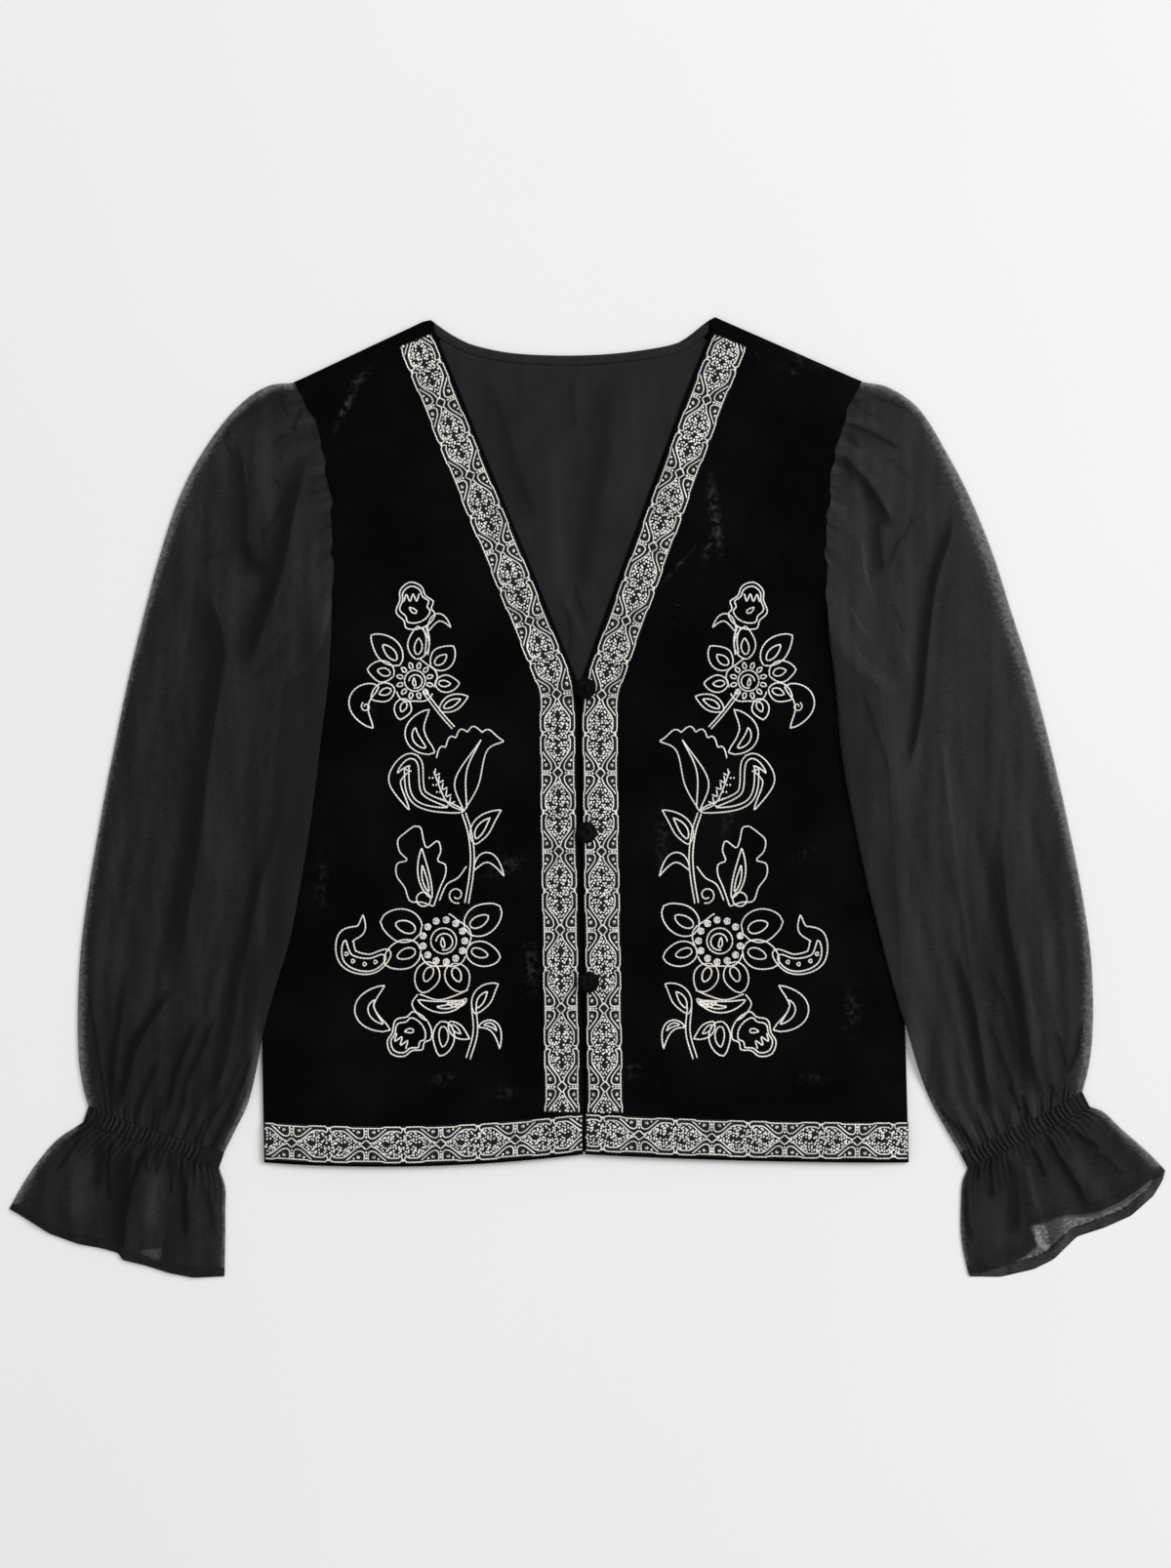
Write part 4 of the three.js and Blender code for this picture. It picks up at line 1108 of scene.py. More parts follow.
def paisley():
    """The curled paisley beside the lower flower, with a second edge and knots in its belly"""
    spine = through((133, -107), (147, -116), (162, -112), (164, -98), (154, -92), (152, -82), per=12)
    whole = swept(spine, 14.5, 0.6, 0.8)
    belly = swept(spine[3:36] + [0, -0.5], 9.0, 0.7, 0.6)
    knots = [ring(*spine[k], 1.2, 8) for k in (9, 15, 21, 27)]
    return [whole, belly] + knots


def tulip():
    """The large flower: a flaring petal with a ruffled lip, and one that curls like a paisley"""
    foot, low, high = (82, -10), np.array([54.0, 39.0]), np.array([101.0, 27.0])
    t = np.linspace(0, 1, 73)[:, None]
    arch = [2.0, 12.0] * np.sin(math.pi * t)
    ruffle = [0.8, 3.6] * np.abs(np.sin(math.pi * 5 * t**1.3)) * np.minimum(1, 6 * t)
    lip = low + (high - low) * t + arch + ruffle
    petal = through(foot, (113, 0), (118, 24), (130, 12), (120, -9), per=12)
    strokes = [
        through(foot, (72, 8), (66, 32), lip[0]),
        lip,
        through(foot, (88, 12), (70, 40)),
        through((80, -8), (80, 18), (70, 40)),
        swept(petal, 13, 0.75, 0.75),
        swept(petal[4:34], 7, 0.9, 0.8),
        through(foot, (94, -3), (103, 18)),
    ]
    for k in range(5):
        x, y = 88 + 2.6 * k, -3 + 4.9 * k
        strokes.append(through((x, y), (x + 3.6, y - 1.2), (x + 3.2, y + 3.4)))
        strokes += [ring(x + across_by, y - 3.2, 0.45, 5) for across_by in (5.4, 7.6)]
    return strokes


# Petals as degrees round from outwards, near and far reach, width
UPPER_PETALS = [
    (46, 15, 44, 17),
    (13, 15, 34, 15),
    (93, 15, 38, 15),
    (138, 15, 36, 16),
    (183, 14, 31, 12),
    (337, 15, 33, 13),
    (291, 14, 29, 12),
]
LOWER_PETALS = [
    (17, 17, 46, 23),
    (338, 17, 44, 20),
    (148, 17, 46, 21),
    (196, 17, 41, 17),
    (292, 17, 39, 17),
    (246, 17, 38, 17),
]


def sprig():
    """The flowering sprig's lines, by distance from the front edges' middle and by height"""
    lines = bud((110, 118), (112, 150))
    lines += double(through((109.5, 119), (107, 110), (108, 99)), 2.2)
    lines += leaf((107, 115), (100, 125), (91, 118), 5.5)
    lines += rosette(116, 81, 13, UPPER_PETALS, 12, False)
    lines += leaf((141, 77), (155, 66), (145, 48), 14, 0, 0.65)
    lines.append(curl(150, 63, 3.6, 1.2, 60, -1, 0.3))
    lines += double(through((110, 74), (104, 66), (97, 57), (89, 48)), 2.2)
    lines += leaf((99, 60), (89, 66), (79, 70), 11, 0.6)
    lines += leaf((102, 31), (116, 44), (106, 61), 14, 0.5, 0.7)
    lines += tulip()
    lines += double(through((82, -11), (78, -24), (76, -40), (77, -56), (80, -74)), 2.6)
    lines.append(through((80, -48), (86, -56), (94, -61), (99, -72)))
    lines += leaf((74, -33), (69, -20), (56, -9), 13, 0.6)
    lines += leaf((75, -51), (65, -42), (54, -55), 7)
    lines += lobed_leaf((103, -76), (116, -20), 36)
    lines += [ring(110, -71, 5), curl(87, -68, 6, 1.2, 250, 1, 0.35)]
    lines += rosette(96, -100, 16, LOWER_PETALS, 13, True)
    lines += paisley()
    lines += double(through((79, -134), (88, -138), (100, -141), (113, -137)), 0.01)[:1]
    lines += leaf((82, -142), (98, -146), (114, -141), 8, 0.45, 0.7)
    lines.append(through((114, -137), (118, -144), (113, -152), (107, -156)))
    lines += leaf((80, -140), (86, -144), (94, -143), 4, 0.5)
    lines += leaf((74, -151), (68, -138), (58, -130), 13, 0.5)
    lines += leaf((133, -162), (151, -148), (137, -131), 14, 0.0, 0.7)
    lines += leaf((138, -158), (146, -149), (144, -141), 5)
    lines += bud((107, -156), (126, -183), -1)
    lines += leaf((98, -156), (96, -168), (99, -180), 15, 0.6, 0.6)
    lines += leaf((92, -156), (86, -163), (78, -168), 9, 0.5)
    lines += double(through((75, -146), (74, -164), (79, -182)), 3)
    lines += leaf((72, -160), (61, -160), (57, -175), 7, 0.5)
    return lines


def crush_of(x, y):
    """How crushed the pile is at plan points"""
    total = np.zeros_like(x)
    for cx, cy, length, width, degrees, strength in CRUSH_MARKS:
        c, s = math.cos(math.radians(degrees)), math.sin(math.radians(degrees))
        along = (x - cx) * c + (y - cy) * s
        aside = (y - cy) * c - (x - cx) * s
        total += strength * bell(along / (length / 2)) * bell(aside / (width / 2))
    return np.clip(total, 0, 1)


def edge_spacing(width, middle, close=(0.0, 0.35, 0.8, 1.4, 2.2, 4.0)):
    """Places from 0 to 1 across a panel, close together at its edges"""
    near = np.array(close) / width
    inner = np.linspace(near[-1], 1 - near[-1], middle)[1:-1]
    return np.concatenate([near, inner, 1 - near[::-1]])


def front_panel(side):
    """A velvet front, its edges rolled under, with the marks where its pile is crushed"""
    length, width, fine = 580.0, 215.0, 561
    t, u = edge_spacing(length, 230), edge_spacing(width, 60)
    last = len(BODICE) - 1
    at = t * last
    edge_xy = sampled(at, np.arange(last + 1), BODICE[:, [EDGE_X[side], EDGE_Y]])
    seam_rows = eased_rows(BODICE[:, [SEAM_X[side], SEAM_Y]], fine)
    seam_xy = puckered(sampled(at, np.linspace(0, last, fine), seam_rows))
    xy = edge_xy[:, None] + (seam_xy - edge_xy)[:, None] * u[None, :, None]
    sag = np.clip(1 - at, 0, 1)[:, None] * HEM_SAG[side] * 4 * (u * (1 - u))[None]
    x, y = xy[..., 0], xy[..., 1] - sag
    wide = np.abs(seam_xy[:, 0] - edge_xy[:, 0])[:, None]
    to_edge = np.minimum(u, 1 - u)[None] * wide
    to_end = np.minimum(t, 1 - t)[:, None] * length + np.zeros_like(to_edge)
    z = front_height(side, x, y) - rolled(np.minimum(to_edge, to_end), 1.6, 1.45)
    points = np.stack([x, y, z], axis=-1)
    faces = stacked(points, grid_faces(len(t), len(u)))
    name = f"{side}_front_velvet"
    panel = piece(name, points, faces, "Black velvet",
                  {"crush": crush_of(x, y)}, [f"{side}_front"])


def coons(bottom, top, left, right):
    """A sheet's plan points filled in between its four edge lines"""
    u = np.linspace(0, 1, len(bottom))[None, :, None]
    v = np.linspace(0, 1, len(left))[:, None, None]
    ends = (1 - v) * bottom[None] + v * top[None]
    sides = (1 - u) * left[:, None] + u * right[:, None]
    corners = (1 - u) * (1 - v) * bottom[0] + u * (1 - v) * bottom[-1]
    corners = corners + (1 - u) * v * top[0] + u * v * top[-1]
    return ends + sides - corners


def back_panel():
    """The velvet back: flat on the floor, and rolled forward over each shoulder"""
    columns, rows = 70, 90
    shorter, shoulder_roll = 2.0, 3.7
    hems = [hem_line(side)[0] + [0, shorter] for side in ("right", "left")]
    hem = np.vstack([hems[0][::-1], hems[1]])
    hem = straight_rows(hem[np.linspace(0, len(hem) - 1, columns).astype(int)], columns)
    neck = eased_rows(BACK_NECK, 60)
    shoulder = np.vstack([SHOULDER_TIP["right"], neck, SHOULDER_TIP["left"]])
    top = spaced(shoulder, line_length(shoulder)[-1] / (columns - 1))[:columns]
    sides = [straight_rows(SIDE_LINES[side], rows) for side in ("right", "left")]
    for line, sign in zip(sides, (-1, 1)):
        line[:, 1] += shorter * np.clip(1 - np.arange(rows) / 6, 0, 1)
        line[:, 0] += 0.5 * sign * smooth((line[:, 1] - 120) / 10)
    hem[0], hem[-1], top[0], top[-1] = sides[0][0], sides[1][0], sides[0][-1], sides[1][-1]
    xy = coons(hem, top, *sides)
    r, c = np.meshgrid(np.arange(rows), np.arange(columns), indexing="ij")
    border = np.minimum(np.minimum(r, rows - 1 - r), np.minimum(c, columns - 1 - c))
    lift = np.zeros((rows, columns))
    for side in SIDES:
        a, b = np.array(SHOULDER_TIP[side]), np.array(NECK_POINT[side])
        way = (b - a) / np.linalg.norm(b - a)
        off = xy - a
        distance = np.abs(off[..., 0] * way[1] - off[..., 1] * way[0])
        along = off @ way
        on = (along > -2) & (along < np.linalg.norm(b - a) + 2)
        roll = shoulder_roll * smooth((8.0 - distance) / 5.0)
        lift = np.maximum(lift, np.where(on, roll, 0))
    upper = np.where(border == 0, 0.5, VELVET) + np.where(border == 0, lift * 0.45, lift)
    lower = np.where(border == 0, 0.25, 0.05) + 0 * lift
    points = np.concatenate([np.dstack([xy, upper]), np.dstack([xy, lower])])
    up = stacked(points[:rows], grid_faces(rows, columns))
    down = up[:, ::-1] + rows * columns
    rim = np.concatenate([
        np.arange(columns), columns * np.arange(1, rows) + columns - 1,
        (rows - 1) * columns + np.arange(columns - 2, -1, -1), columns * np.arange(rows - 2, 0, -1),
    ])
    after = np.roll(rim, -1)
    walls = np.column_stack([after, rim, rim + rows * columns, after + rows * columns])
    panel = piece("back_velvet", points, [up, down, walls], "Black velvet",
                  {"crush": np.concatenate([crush_of(xy[..., 0], xy[..., 1])] * 2)}, ["back"])


def neck_line(depth, begin, end, count):
    """A line beside the back neck, that far into the cloth"""
    line = spaced(eased_rows(BACK_NECK, 200), 1.0)
    on = sampled(np.linspace(begin, end, count) * (len(line) - 1), np.arange(len(line)), line)
    return on - across(on) * depth


def neck_gap(xy):
    """How far below the back neck's edge plan points are"""
    edge = eased_rows(BACK_NECK, 200)
    return np.interp(xy[..., 0], edge[:, 0], edge[:, 1]) - xy[..., 1]


def neck_facing():
    """The facing round the back neck, with its edge stitching"""
    across_it = [(0.5, 2.0), (0.8, 2.7), (1.4, 3.0), (3.0, 2.95), (5.0, 2.9), (6.6, 2.85), (7.0, 2.3)]
    count, taper = 90, 0.004
    depths = np.array([depth for depth, _ in across_it])
    points = np.stack([
        np.column_stack([neck_line(d, 0.02 + taper * d, 0.98 - taper * d, count), np.full(count, h)])
        for d, h in across_it
    ])
    faces = stacked(points, grid_faces(len(depths), count))
    zero = np.zeros(points.shape[:2])
    # Painted shade along the facing's top edge and past its stitching, the band between a little
    # lighter
    values = {"shade": zero - 0.12 + 0.25 * (depths[:, None] > 6) + 0.3 * (depths[:, None] < 0.6)}
    facing = piece("back_neck_facing_cloth", points, faces, "Charcoal lining",
                   values, ["back_neck_facing"])
    row = neck_line(5.9, 0.05, 0.95, 150)
    stitches("back_neck_stitches", row, lambda x, y: 2.9 + 0 * x)


def back_lining():
    """The lining that shows in the neckline, with its soft hanging folds"""
    rows, columns = 110, 70
    edges = {}
    for side in SIDES:
        line, inward = front_edge(side)
        low = np.searchsorted(line[:, 1], BODICE[UNDERARM_ROW, EDGE_Y] - 2)
        high = np.searchsorted(line[:, 1], 316.0)
        edges[side] = spaced(line[low:high] + inward[low:high] * 8.5, 1.0)
    sides = [straight_rows(edges[side], rows) for side in ("right", "left")]
    top = neck_line(NECK_BAND - 0.6, 0.06, 0.94, columns)
    bottom = np.linspace(sides[0][0], sides[1][0], columns)
    top[0], top[-1] = sides[0][-1], sides[1][-1]
    xy = coons(bottom, top, *sides)
    x, y = xy[..., 0], xy[..., 1]
    rise, shade = crease_field(x, y, LINING_CREASES)
    low = smooth((neck_gap(xy) - NECK_BAND + 0.5) / 2.0)
    points = np.dstack([xy, 2.15 + low * (0.35 + np.clip(rise, -0.5, 0.55))])
    faces = stacked(points, grid_faces(rows, columns))
    cloth = piece("back_lining_cloth", points, faces, "Charcoal lining",
                  {"shade": shade}, ["back_lining"])


def stitches(name, line, height, length=2.2, gap=0.9, width=0.4):
    """A row of straight sewing stitches that lie on cloth of that height"""
    line = spaced(line, 0.4)
    along = line_length(line)
    dashes = []
    for start in np.arange(0, along[-1] - length, length + gap):
        on = (along >= start) & (along <= start + length)
        if on.sum() > 1:
            dashes.append(line[on])
    points, faces, _ = ridges(dashes, width, 0.25, step=1.0)
    points[:, 2] += height(points[:, 0], points[:, 1])
    piece(name, points, faces, "Dark sewing thread")


def section_points(side, rows, v):
    """Plan points across a sleeve's sections, from the inner edge to the outer"""
    inner, outer = rows[:, None, [IN_X, IN_Y]], rows[:, None, [OUT_X, OUT_Y]]
    way = outer - inner
    length = np.linalg.norm(way, axis=-1, keepdims=True)
    down = np.stack([way[..., 1], -way[..., 0]], axis=-1) / length * SIDES[side]
    place = v[None, :, None]
    bow = rows[:, None, None, BOW] * 4 * place * (1 - place)
    return inner + way * place + down * bow, down


def patch(x, y, corners, soft=0.9):
    """1 inside a patch with those corners, 0 outside it, and soft between"""
    corners = np.array(corners, float)
    near = np.full(np.shape(x), np.inf)
    for a, b in zip(corners, np.roll(corners, -1, axis=0)):
        way = (b - a) / np.linalg.norm(b - a)
        near = np.minimum(near, (y - a[1]) * way[0] - (x - a[0]) * way[1])
    return smooth(near / soft + 0.5)


def valleys(wave):
    """The painted shade in the valleys of small folds"""
    return np.clip(-wave, 0, 1) ** 2


def gathers(v, count, seed):
    """Uneven small folds across a gathered edge, from -1 to 1"""
    chance = np.random.default_rng(seed)
    moved = chance.uniform(-0.3, 0.3, count + 1) / count
    knots = np.sort(np.clip(np.linspace(0, 1, count + 1) + moved, 0, 1))
    phase = np.interp(v, knots, np.arange(count + 1))
    size = np.interp(phase, np.arange(count + 1), chance.uniform(0.45, 1.0, count + 1))
    return np.cos(2 * math.pi * phase) * size


def tube_piece(name, top, bottom, values, replaces):
    """A flattened tube of sheer cloth from its upper layer's rows and its lower layer's"""
    rings = np.concatenate([top, bottom[:, ::-1]], axis=1)
    rows, columns = rings.shape[:2]
    faces = grid_faces(rows, columns, ring=True)
    a, b, c = (rings.reshape(-1, 3)[faces[columns // 4, i]] for i in range(3))
    faces = faces if np.cross(b - a, c - a)[2] > 0 else faces[:, ::-1]
    joined = {
        key: np.concatenate([up, low[:, ::-1]], axis=1) for key, (up, low) in values.items()
    }
    return piece(name, rings, faces, "Sheer black cloth", joined, replaces)


def flattened(edge, soft):
    """How far a flattened tube's upper layer has risen, at a share across from its edge"""
    return np.sqrt(np.clip(1 - (1 - np.clip(edge / soft, 0, 1)) ** 2, 0, 1))


def sleeve_cloth(side):
    """A gathered sheer sleeve, flattened, on the floor and over the bodice's side"""
    sizes = bpy.context.scene.blouse_sizes
    sign = SIDES[side]
    rows = eased_rows(SLEEVE[side], 250)
    s = np.linspace(0, 1, len(rows))[:, None]
    wide = np.linalg.norm(rows[:, [OUT_X, OUT_Y]] - rows[:, [IN_X, IN_Y]], axis=1)[:, None]
    band = np.interp(s, THIN_BAND[side][:, 0], THIN_BAND[side][:, 1])
    line = SIDE_LINES[side]
    layers = []
    for columns in (150, 40):
        v = np.linspace(0, 1, columns)
        v = v - 0.035 * np.sin(2 * math.pi * v)
        xy = section_points(side, rows, v)[0]
        y = rows[0, IN_Y] + (rows[0, OUT_Y] - rows[0, IN_Y]) * v
        seam = np.column_stack([np.interp(y, line[:, 1], line[:, 0]) - sign * 0.2, y])
        hold = (1 - smooth(s * 13))[..., None]
        xy = xy * (1 - hold) + (seam[None] + xy - xy[:1]) * hold
        x, y = xy[..., 0], xy[..., 1]
        V = v[None, :] + 0 * s
        puff = flattened(np.minimum(V, 1 - V), 0.09)
        thin = smooth((band + 2 - (1 - V) * wide) / (0.75 * band + 2))
        thin = np.maximum(thin, 0.8 * (1 - smooth((V * wide - 3) / 1.5)) * smooth((s - 0.82) / 0.05))
        if columns > 100:
            near_cap = smooth((V - 0.1) / 0.2)
            cap = gathers(V + 0.1 * s, 19, SEED + 3) * (1 - smooth(s / 0.07)) * near_cap * 0.8
            cap = cap + gathers(V + 0.1 * s, 8, SEED + 4) * (1 - smooth(s / 0.16)) * near_cap * 0.5
            wrist = smooth((s - 0.8) / 0.19)
            pleats = gathers(V, 25, SEED + 5) * 0.65 * smooth((s - 0.9) / 0.1)
            pleats = pleats + gathers(V + 0.02 * np.sin(24 * s), 9, SEED + 6) * 0.85 * wrist
            rise, shade = crease_field(x, y, SLEEVE_CREASES[side])
            drape = gathers(V + 0.025 * np.sin(7 * s), 8, SEED + 8) * smooth((s - 0.35) / 0.4)
            body = 1.2 + (1.5 + rise + 0.6 * cap + 0.8 * pleats + 0.25 * drape) * puff
            z = ground(side, x, y) + 0.5 + np.clip(body * sizes.fold_height, 0.3, 5.6)
            # Painted shade and light: the creases' painted shade where the cloth also lies doubled, and
            # their painted highlights; cap gathers, pleats and drape painted darker in their valleys
            # and lighter on their ridges; each sleeve's painted light down its length; a dark line
            # along the folded outer edge; and painted shade along the inner edge near the armhole
            tone = np.interp(s, SLEEVE_PAINTED_LIGHT[side][:, 0], SLEEVE_PAINTED_LIGHT[side][:, 1])
            depth = 1.45 + 0.5 * smooth((s - 0.55) / 0.25)
            shade = np.where(shade > 0, depth, 0.65) * shade - 0.5 * cap
            shade = shade + 1.7 * valleys(pleats) - 0.5 * np.clip(pleats, 0, 0.6) - 0.2 * drape
            shade = shade + tone + 0.3 * (1 - smooth((1 - V) * wide / 1.2))
            shade = shade + 0.25 * (1 - smooth(V * wide / 6)) * smooth((0.5 - s) / 0.1)
        else:
            z = ground(side, x, y) + 0.85 - 0.5 * puff
            shade = 0.1 + 0 * V
        layers.append((np.dstack([x, y, z]), shade, thin))
    top, low = layers
    cloth = tube_piece(f"{side}_sleeve_cloth", top[0], low[0],
                       {"shade": (top[1], low[1]), "thin": (top[2], low[2])}, [f"{side}_sleeve"])


def moved_row(side, row, distance):
    """A section moved down the sleeve"""
    ends, down = section_points(side, row[None], np.array([0.0, 1.0]))
    ends = ends[0] + down[0] * distance
    return np.concatenate([ends[0], ends[1], [row[BOW]]])


def stitched_across(name, side, line, *sizes):
    """A row of stitches along a line of points that crosses a sleeve"""
    sign = SIDES[side]
    line = line[np.argsort(line[:, 0] * sign)]
    stitches(name, line[:, :2],
             lambda x, y: np.interp(x * sign, line[:, 0] * sign, line[:, 2]), *sizes)


def casing_cloth(side):
    """The elastic casing, closely gathered, with a smooth stretch at its seam"""
    sizes = bpy.context.scene.blouse_sizes
    last = SLEEVE[side][-1]
    t = np.array([0, 0.05, 0.11, 0.2, 0.32, 0.5, 0.68, 0.8, 0.89, 0.95, 1.0])
    rows = np.array([moved_row(side, last, (CASING_LENGTH + 1.2) * k - 0.5) for k in t])
    v = np.linspace(0, 1, 12 * sizes.casing_gathers)
    xy, down = section_points(side, rows, v)
    V, T = v[None, :] + 0 * t[:, None], t[:, None] + 0 * v[None, :]
    gathered = smooth((V - CASING_FLAT[side]) / 0.03) * smooth((1 - V) / 0.02)
    folds = gathers(V + 0.006 * np.sin(5 * T), sizes.casing_gathers, SEED + 7) * gathered
    bulge = np.sin(math.pi * np.clip(T, 0.02, 0.98)) ** 0.5
    puff = flattened(np.minimum(V, 1 - V), 0.05)
    wobble = (0.35 * folds * (T - 0.5))[..., None]
    z = 1.6 + (0.9 + 0.9 * bulge + 0.85 * folds * bulge) * puff
    top = np.dstack([xy + down * wobble, z])
    low = np.dstack([xy, 0.35 + 0.5 * (1 - puff)])
    # Painted shade in the gathers' valleys and along both seams, and a painted highlight on the
    # gathers' tops
    rim = 1 - smooth(np.minimum(T, 1 - T) / 0.12)
    shade = 0.3 + 2.2 * valleys(folds) - 1.05 * np.clip(folds, 0, 1) * bulge + 0.6 * rim
    shade = shade + CUFF_TONE[side]
    zero = np.zeros_like(V)
    cloth = tube_piece(f"{side}_casing_cloth", top, low,
                       {"shade": (shade, zero + 0.6), "thin": (zero, zero)}, [f"{side}_casing"])
    for k, row in enumerate((2, 8)):
        line = np.column_stack([xy[row, ::3], z[row, ::3]])
        stitched_across(f"{side}_casing_stitches_{k + 1}", side, line, 1.8, 0.8, 0.35)


def ruffle_cloth(side):
    """The flared cuff: gathered under the casing, with a folded hem and a shorter upper layer"""
    start = moved_row(side, SLEEVE[side][-1], 2 * SEAM_GAP + CASING_LENGTH - 0.3)
    s = 1 - (1 - np.linspace(0, 1, 90)) ** 1.5
    rows = sampled(s * 399, np.arange(400), eased_rows(np.vstack([start, RUFFLE[side]]), 400))
    s = s[:, None]
    places = np.linspace(0, 1, 200)
    reach = eased_ends(np.column_stack([places, np.interp(places, *HEM_REACH[side].T)]), 5)
    layers = []
    for columns in (180, 90):
        v = np.linspace(0, 1, columns)
        xy, down = section_points(side, rows, v)
        V = v[None, :] + 0 * s
        hang = np.interp(v, *reach.T)
        short = np.interp(v, *UPPER_SHORT[side].T)
        above = columns > 100
        xy = xy + down * (s * (hang - above * short)[None])[..., None]
        x, y = xy[..., 0], xy[..., 1]
        puff = flattened(np.minimum(V, 1 - V), 0.07)
        near = 1 - smooth(s / 0.6)
        fine = gathers(V, 24, SEED + 8) * near * (0.35 + 0.65 * near)
        broad = gathers(V + 0.02 * s, 7, SEED + (9 if side == "right" else 10)) * smooth(s * 1.6)
        to_hem = (1 - s) * CUFF_LENGTH
        hem = smooth((CUFF_HEM - to_hem) / 0.8)
        # A line of painted shade along the top of the folded hem, and at its bottom edge
        line = bell((to_hem - CUFF_HEM - 0.4) / 0.7) + 0.8 * bell(to_hem / 0.5)
        if above:
            rise, shade = crease_field(x, y, CUFF_CREASES[side])
            z = 1.2 + (1.3 + 0.85 * fine + 0.4 * broad + rise) * puff + 0.15 * hem
            # Painted shade: the creases' dark sides (painted highlights below 0), the fine gathers'
            # valleys, a little more near the casing; painted highlights on the gathers' ridges. The hem
            # is darker for its doubled cloth, and the seam allowance for the cloth that it adds
            shade = 1.6 * shade + 0.2 + 0.1 * near + 1.3 * valleys(fine) - 0.4 * np.clip(fine, 0, 1)
            shade = shade - 0.06 * broad + 0.12 * hem + 0.25 * line + CUFF_TONE[side]
            shade = shade + 0.3 * patch(x, y, CUFF_SEAM[side]) * (side == "right")
            thin = 2.2 * patch(x, y, CUFF_WINDOW[side]) * (side == "right")
        else:
            z = 0.75 - 0.4 * puff + 0.1 * hem
            shade = 0.05 + 0.35 * hem + 0.6 * line + 0 * V
            shade = shade + 0.2 * patch(x, y, CUFF_SEAM[side]) * (side == "left")
            bare = smooth((short - 1.15 * to_hem) / 1.5) * (1 - patch(x, y, CUFF_SEAM[side]))
            thin = 0.4 * bare + 0.3 * patch(x, y, CUFF_WINDOW[side])
            thin = thin * smooth((to_hem - CUFF_HEM) / 0.8)
        rims = np.maximum(1 - smooth((1 - V) / 0.06), 0.8 * (1 - smooth((V - 0.008) / 0.018)))
        thin = np.maximum(thin, rims * (1 - hem) * smooth(s / 0.08))
        layers.append((np.dstack([xy, np.clip(z, 0.3, 5.5)]), shade, thin))
    top, low = layers
    cloth = tube_piece(f"{side}_ruffle_cloth", top[0], low[0],
                       {"shade": (top[1], low[1]), "thin": (top[2], low[2])},
                       [f"{side}_cuff_ruffle"])
    row = int(np.searchsorted(s[:, 0], 1 - (CUFF_HEM - 0.8) / CUFF_LENGTH))
    for name, layer in (("upper", top), ("lower", low)):
        stitched_across(f"{side}_ruffle_{name}_hem_stitches", side, layer[0][row], 2.0, 0.8, 0.3)


# A button's side view, from its shank up: height, radius
BUTTON_PROFILE = [
    (0.0, 1.9), (1.6, 1.9), (1.75, 6.4), (2.3, 7.2), (3.1, 7.42), (3.9, 7.0), (4.7, 5.9),
    (5.35, 4.2), (5.75, 2.2), (5.9, 0.0),
]


def covered_button(index, x, y, base, count=48):
    """A domed velvet-covered button on its shank"""
    turn = np.linspace(0, 2 * math.pi, count, endpoint=False)
    chance = np.random.default_rng(SEED + 20 + index)
    pucker = 1 + 0.02 * np.cos(9 * turn + chance.uniform(0, 6))
    rings = []
    for z, r in BUTTON_PROFILE:
        gather = pucker if z < 3.5 else 1 + 0 * turn
        rings.append(np.column_stack([x + r * gather * np.cos(turn), y + r * gather * np.sin(turn),
                                      np.full(count, base + z)]))
    points = np.vstack(rings)
    faces = grid_faces(len(BUTTON_PROFILE), count, ring=True)
    values = {"crush": np.full(len(points), 0.12)}
    return piece(f"button_{index}_velvet", points, faces, "Black velvet",
                 values, [f"button_{index}"])


def area_light(name, place, aim, size, power):
    """An oblong lamp that points at a place"""
    light = bpy.data.lights.new(name, "AREA")
    light.shape = "RECTANGLE"
    light.size, light.size_y = size
    light.energy = power
    lamp = bpy.data.objects.new(name, light)
    lamp.location = place
    lamp.rotation_euler = (Vector(aim) - Vector(place)).to_track_quat("-Z", "Y").to_euler()
    bpy.context.scene.collection.objects.link(lamp)


# The stage, in metres and watts: the picture's middle on the floor and the height that it takes in
FLOOR_HALF = 4.0
KEY_PLACE, KEY_POWER = (5.0, 3.3, 5.0), 472
ROOM_LIGHT = 0.62
VIEW_MIDDLE, VIEW_HEIGHT = (-0.0013, 0.0091), 1.0928


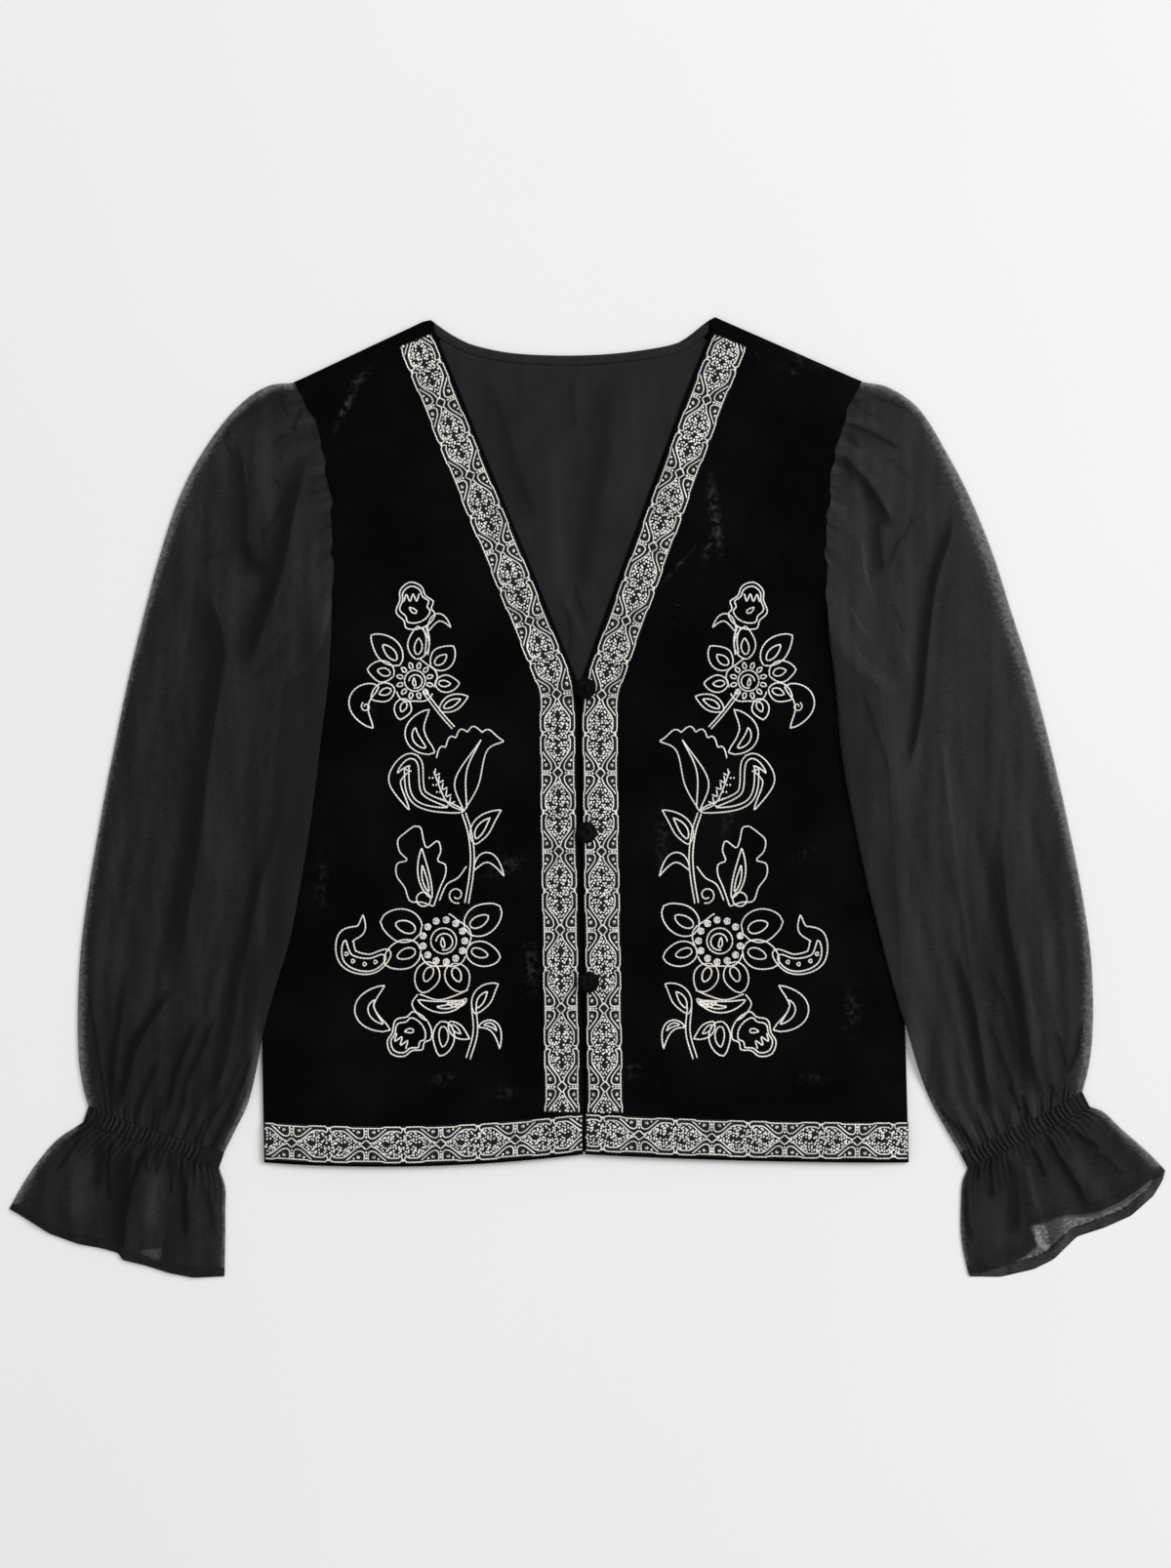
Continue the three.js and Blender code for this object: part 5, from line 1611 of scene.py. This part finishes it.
class BLOUSE_OT_stage(Operator):
    """Lay the pale floor, set the soft light and hang the camera straight above"""

    bl_idname = "blouse.stage"
    bl_label = "Stage"

    def execute(self, context):
        look = Finish("Pale floor")
        mottle = look.noise(2.0, 3.0)
        tone = opaque(context.scene.blouse_cloth.floor)
        look.finish(Base_Color=look.blend(look.spread(mottle, 0.3, 0.7), tone, opaque(tone[:3], 0.98)),
                    Roughness=0.9,
                    Specular_IOR_Level=0.1)
        mesh = bpy.data.meshes.new("floor")
        corners = [(x * FLOOR_HALF, y * FLOOR_HALF, 0) for x, y in ((-1, -1), (1, -1), (1, 1), (-1, 1))]
        mesh.from_pydata(corners, [], [(0, 1, 2, 3)])
        mesh.materials.append(look.material)
        floor = bpy.data.objects.new("floor", mesh)
        context.scene.collection.objects.link(floor)

        area_light("key", KEY_PLACE, (0, 0, 0), (4.0, 4.0), KEY_POWER)
        world = bpy.data.worlds.new("Soft room")
        world.use_nodes = True
        glow = world.node_tree.nodes["Background"].inputs
        glow["Color"].default_value = (1, 1, 1, 1)
        glow["Strength"].default_value = ROOM_LIGHT
        context.scene.world = world
        context.scene.view_settings.view_transform = "Standard"

        lens = bpy.data.cameras.new("camera")
        lens.lens = 85
        camera = bpy.data.objects.new("camera", lens)
        camera.location = (*VIEW_MIDDLE, VIEW_HEIGHT * lens.lens / lens.sensor_width)
        context.scene.collection.objects.link(camera)
        context.scene.camera = camera
        return {"FINISHED"}


class BLOUSE_OT_back(Operator):
    """Make the velvet back, its lining and the neck facing"""

    bl_idname = "blouse.back"
    bl_label = "Back and lining"

    def execute(self, context):
        back_panel()
        back_lining()
        neck_facing()
        return {"FINISHED"}


class BLOUSE_OT_fronts(Operator):
    """Make the two velvet fronts"""

    bl_idname = "blouse.fronts"
    bl_label = "Fronts"

    def execute(self, context):
        for side in SIDES:
            front_panel(side)
        return {"FINISHED"}


class BLOUSE_OT_sleeves(Operator):
    """Make the sheer sleeves, the elastic casings and the cuffs"""

    bl_idname = "blouse.sleeves"
    bl_label = "Sleeves and cuffs"

    def execute(self, context):
        for side in SIDES:
            sleeve_cloth(side)
            casing_cloth(side)
            ruffle_cloth(side)
        return {"FINISHED"}


class BLOUSE_OT_ribbons(Operator):
    """Lay the embroidered ribbons along the front edges and the hem"""

    bl_idname = "blouse.ribbons"
    bl_label = "Ribbons"

    def execute(self, context):
        sizes = context.scene.blouse_sizes
        thread = sizes.ribbon_thread / MILLIMETRE
        for side in SIDES:
            for kind, path, width, cut in (
                ("edge", edge_path(side), RIBBON_WIDTH, (0.025, 0.56, 1.0)),
                ("hem", hem_path(side), HEM_RIBBON_WIDTH, (0.026, 0.224, 1.0)),
            ):
                name = f"{side}_{kind}_ribbon"
                ground_piece = ribbon_strip(f"{name}_ground", path, width, name)
                start, repeat = RIBBON_START[side, kind]
                work = ribbon_embroidery(f"{name}_embroidery", path, width, start, repeat, thread)
        return {"FINISHED"}


class BLOUSE_OT_sprigs(Operator):
    """Embroider a flowering sprig in chain stitch on each front"""

    bl_idname = "blouse.sprigs"
    bl_label = "Sprigs"

    def execute(self, context):
        sizes = context.scene.blouse_sizes
        finish = "Silver thread"
        for side, sign in SIDES.items():
            strokes = [np.column_stack([SPRIG_MIDDLE + sign * k[:, 0], k[:, 1]]) for k in sprig()]
            points, faces, tones = ridges(strokes, sizes.cord / MILLIMETRE, 0.8,
                                          sizes.stitch / MILLIMETRE, 0.6)
            points[:, 2] += front_height(side, points[:, 0], points[:, 1]) - 0.05
            tones = 0.5 + 0.5 * tones
            piece(f"{side}_sprig_embroidery", points, faces, finish, {"strand": tones})
        return {"FINISHED"}


class BLOUSE_OT_buttons(Operator):
    """Sew on the three covered buttons"""

    bl_idname = "blouse.buttons"
    bl_label = "Buttons"

    def execute(self, context):
        for index in (1, 2, 3):
            low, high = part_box(f"button_{index}")
            middle = (np.array(low) + np.array(high)) / 2 / MILLIMETRE
            x, y = middle[:2] - MIDDLE
            covered_button(index, x, y, low[2] / MILLIMETRE)
        return {"FINISHED"}


class BLOUSE_PT_panel(Panel):
    """Lists the blouse's pieces, sizes and colours"""

    bl_label = "Velvet blouse"
    bl_space_type = "VIEW_3D"
    bl_region_type = "UI"
    bl_category = "Blouse"

    def draw(self, context):
        for step in STEPS:
            self.layout.operator(step.bl_idname)
        for group in (context.scene.blouse_cloth, context.scene.blouse_sizes):
            box = self.layout.box()
            for name in group.__annotations__:
                box.prop(group, name)


STEPS = (
    BLOUSE_OT_stage,
    BLOUSE_OT_back,
    BLOUSE_OT_fronts,
    BLOUSE_OT_sleeves,
    BLOUSE_OT_ribbons,
    BLOUSE_OT_sprigs,
    BLOUSE_OT_buttons,
)
GROUPS = (BLOUSE_PG_cloth, BLOUSE_PG_sizes)


def register():
    for cls in GROUPS + STEPS + (BLOUSE_PT_panel,):
        bpy.utils.register_class(cls)
    bpy.types.Scene.blouse_cloth = PointerProperty(type=BLOUSE_PG_cloth)
    bpy.types.Scene.blouse_sizes = PointerProperty(type=BLOUSE_PG_sizes)


def unregister():
    del bpy.types.Scene.blouse_sizes
    del bpy.types.Scene.blouse_cloth
    for cls in reversed(GROUPS + STEPS + (BLOUSE_PT_panel,)):
        bpy.utils.unregister_class(cls)


def main():
    register()
    bpy.ops.blouse.stage()
    bpy.ops.blouse.back()
    bpy.ops.blouse.fronts()
    bpy.ops.blouse.sleeves()
    bpy.ops.blouse.ribbons()
    bpy.ops.blouse.sprigs()
    bpy.ops.blouse.buttons()


if __name__ == "__main__":
    main()
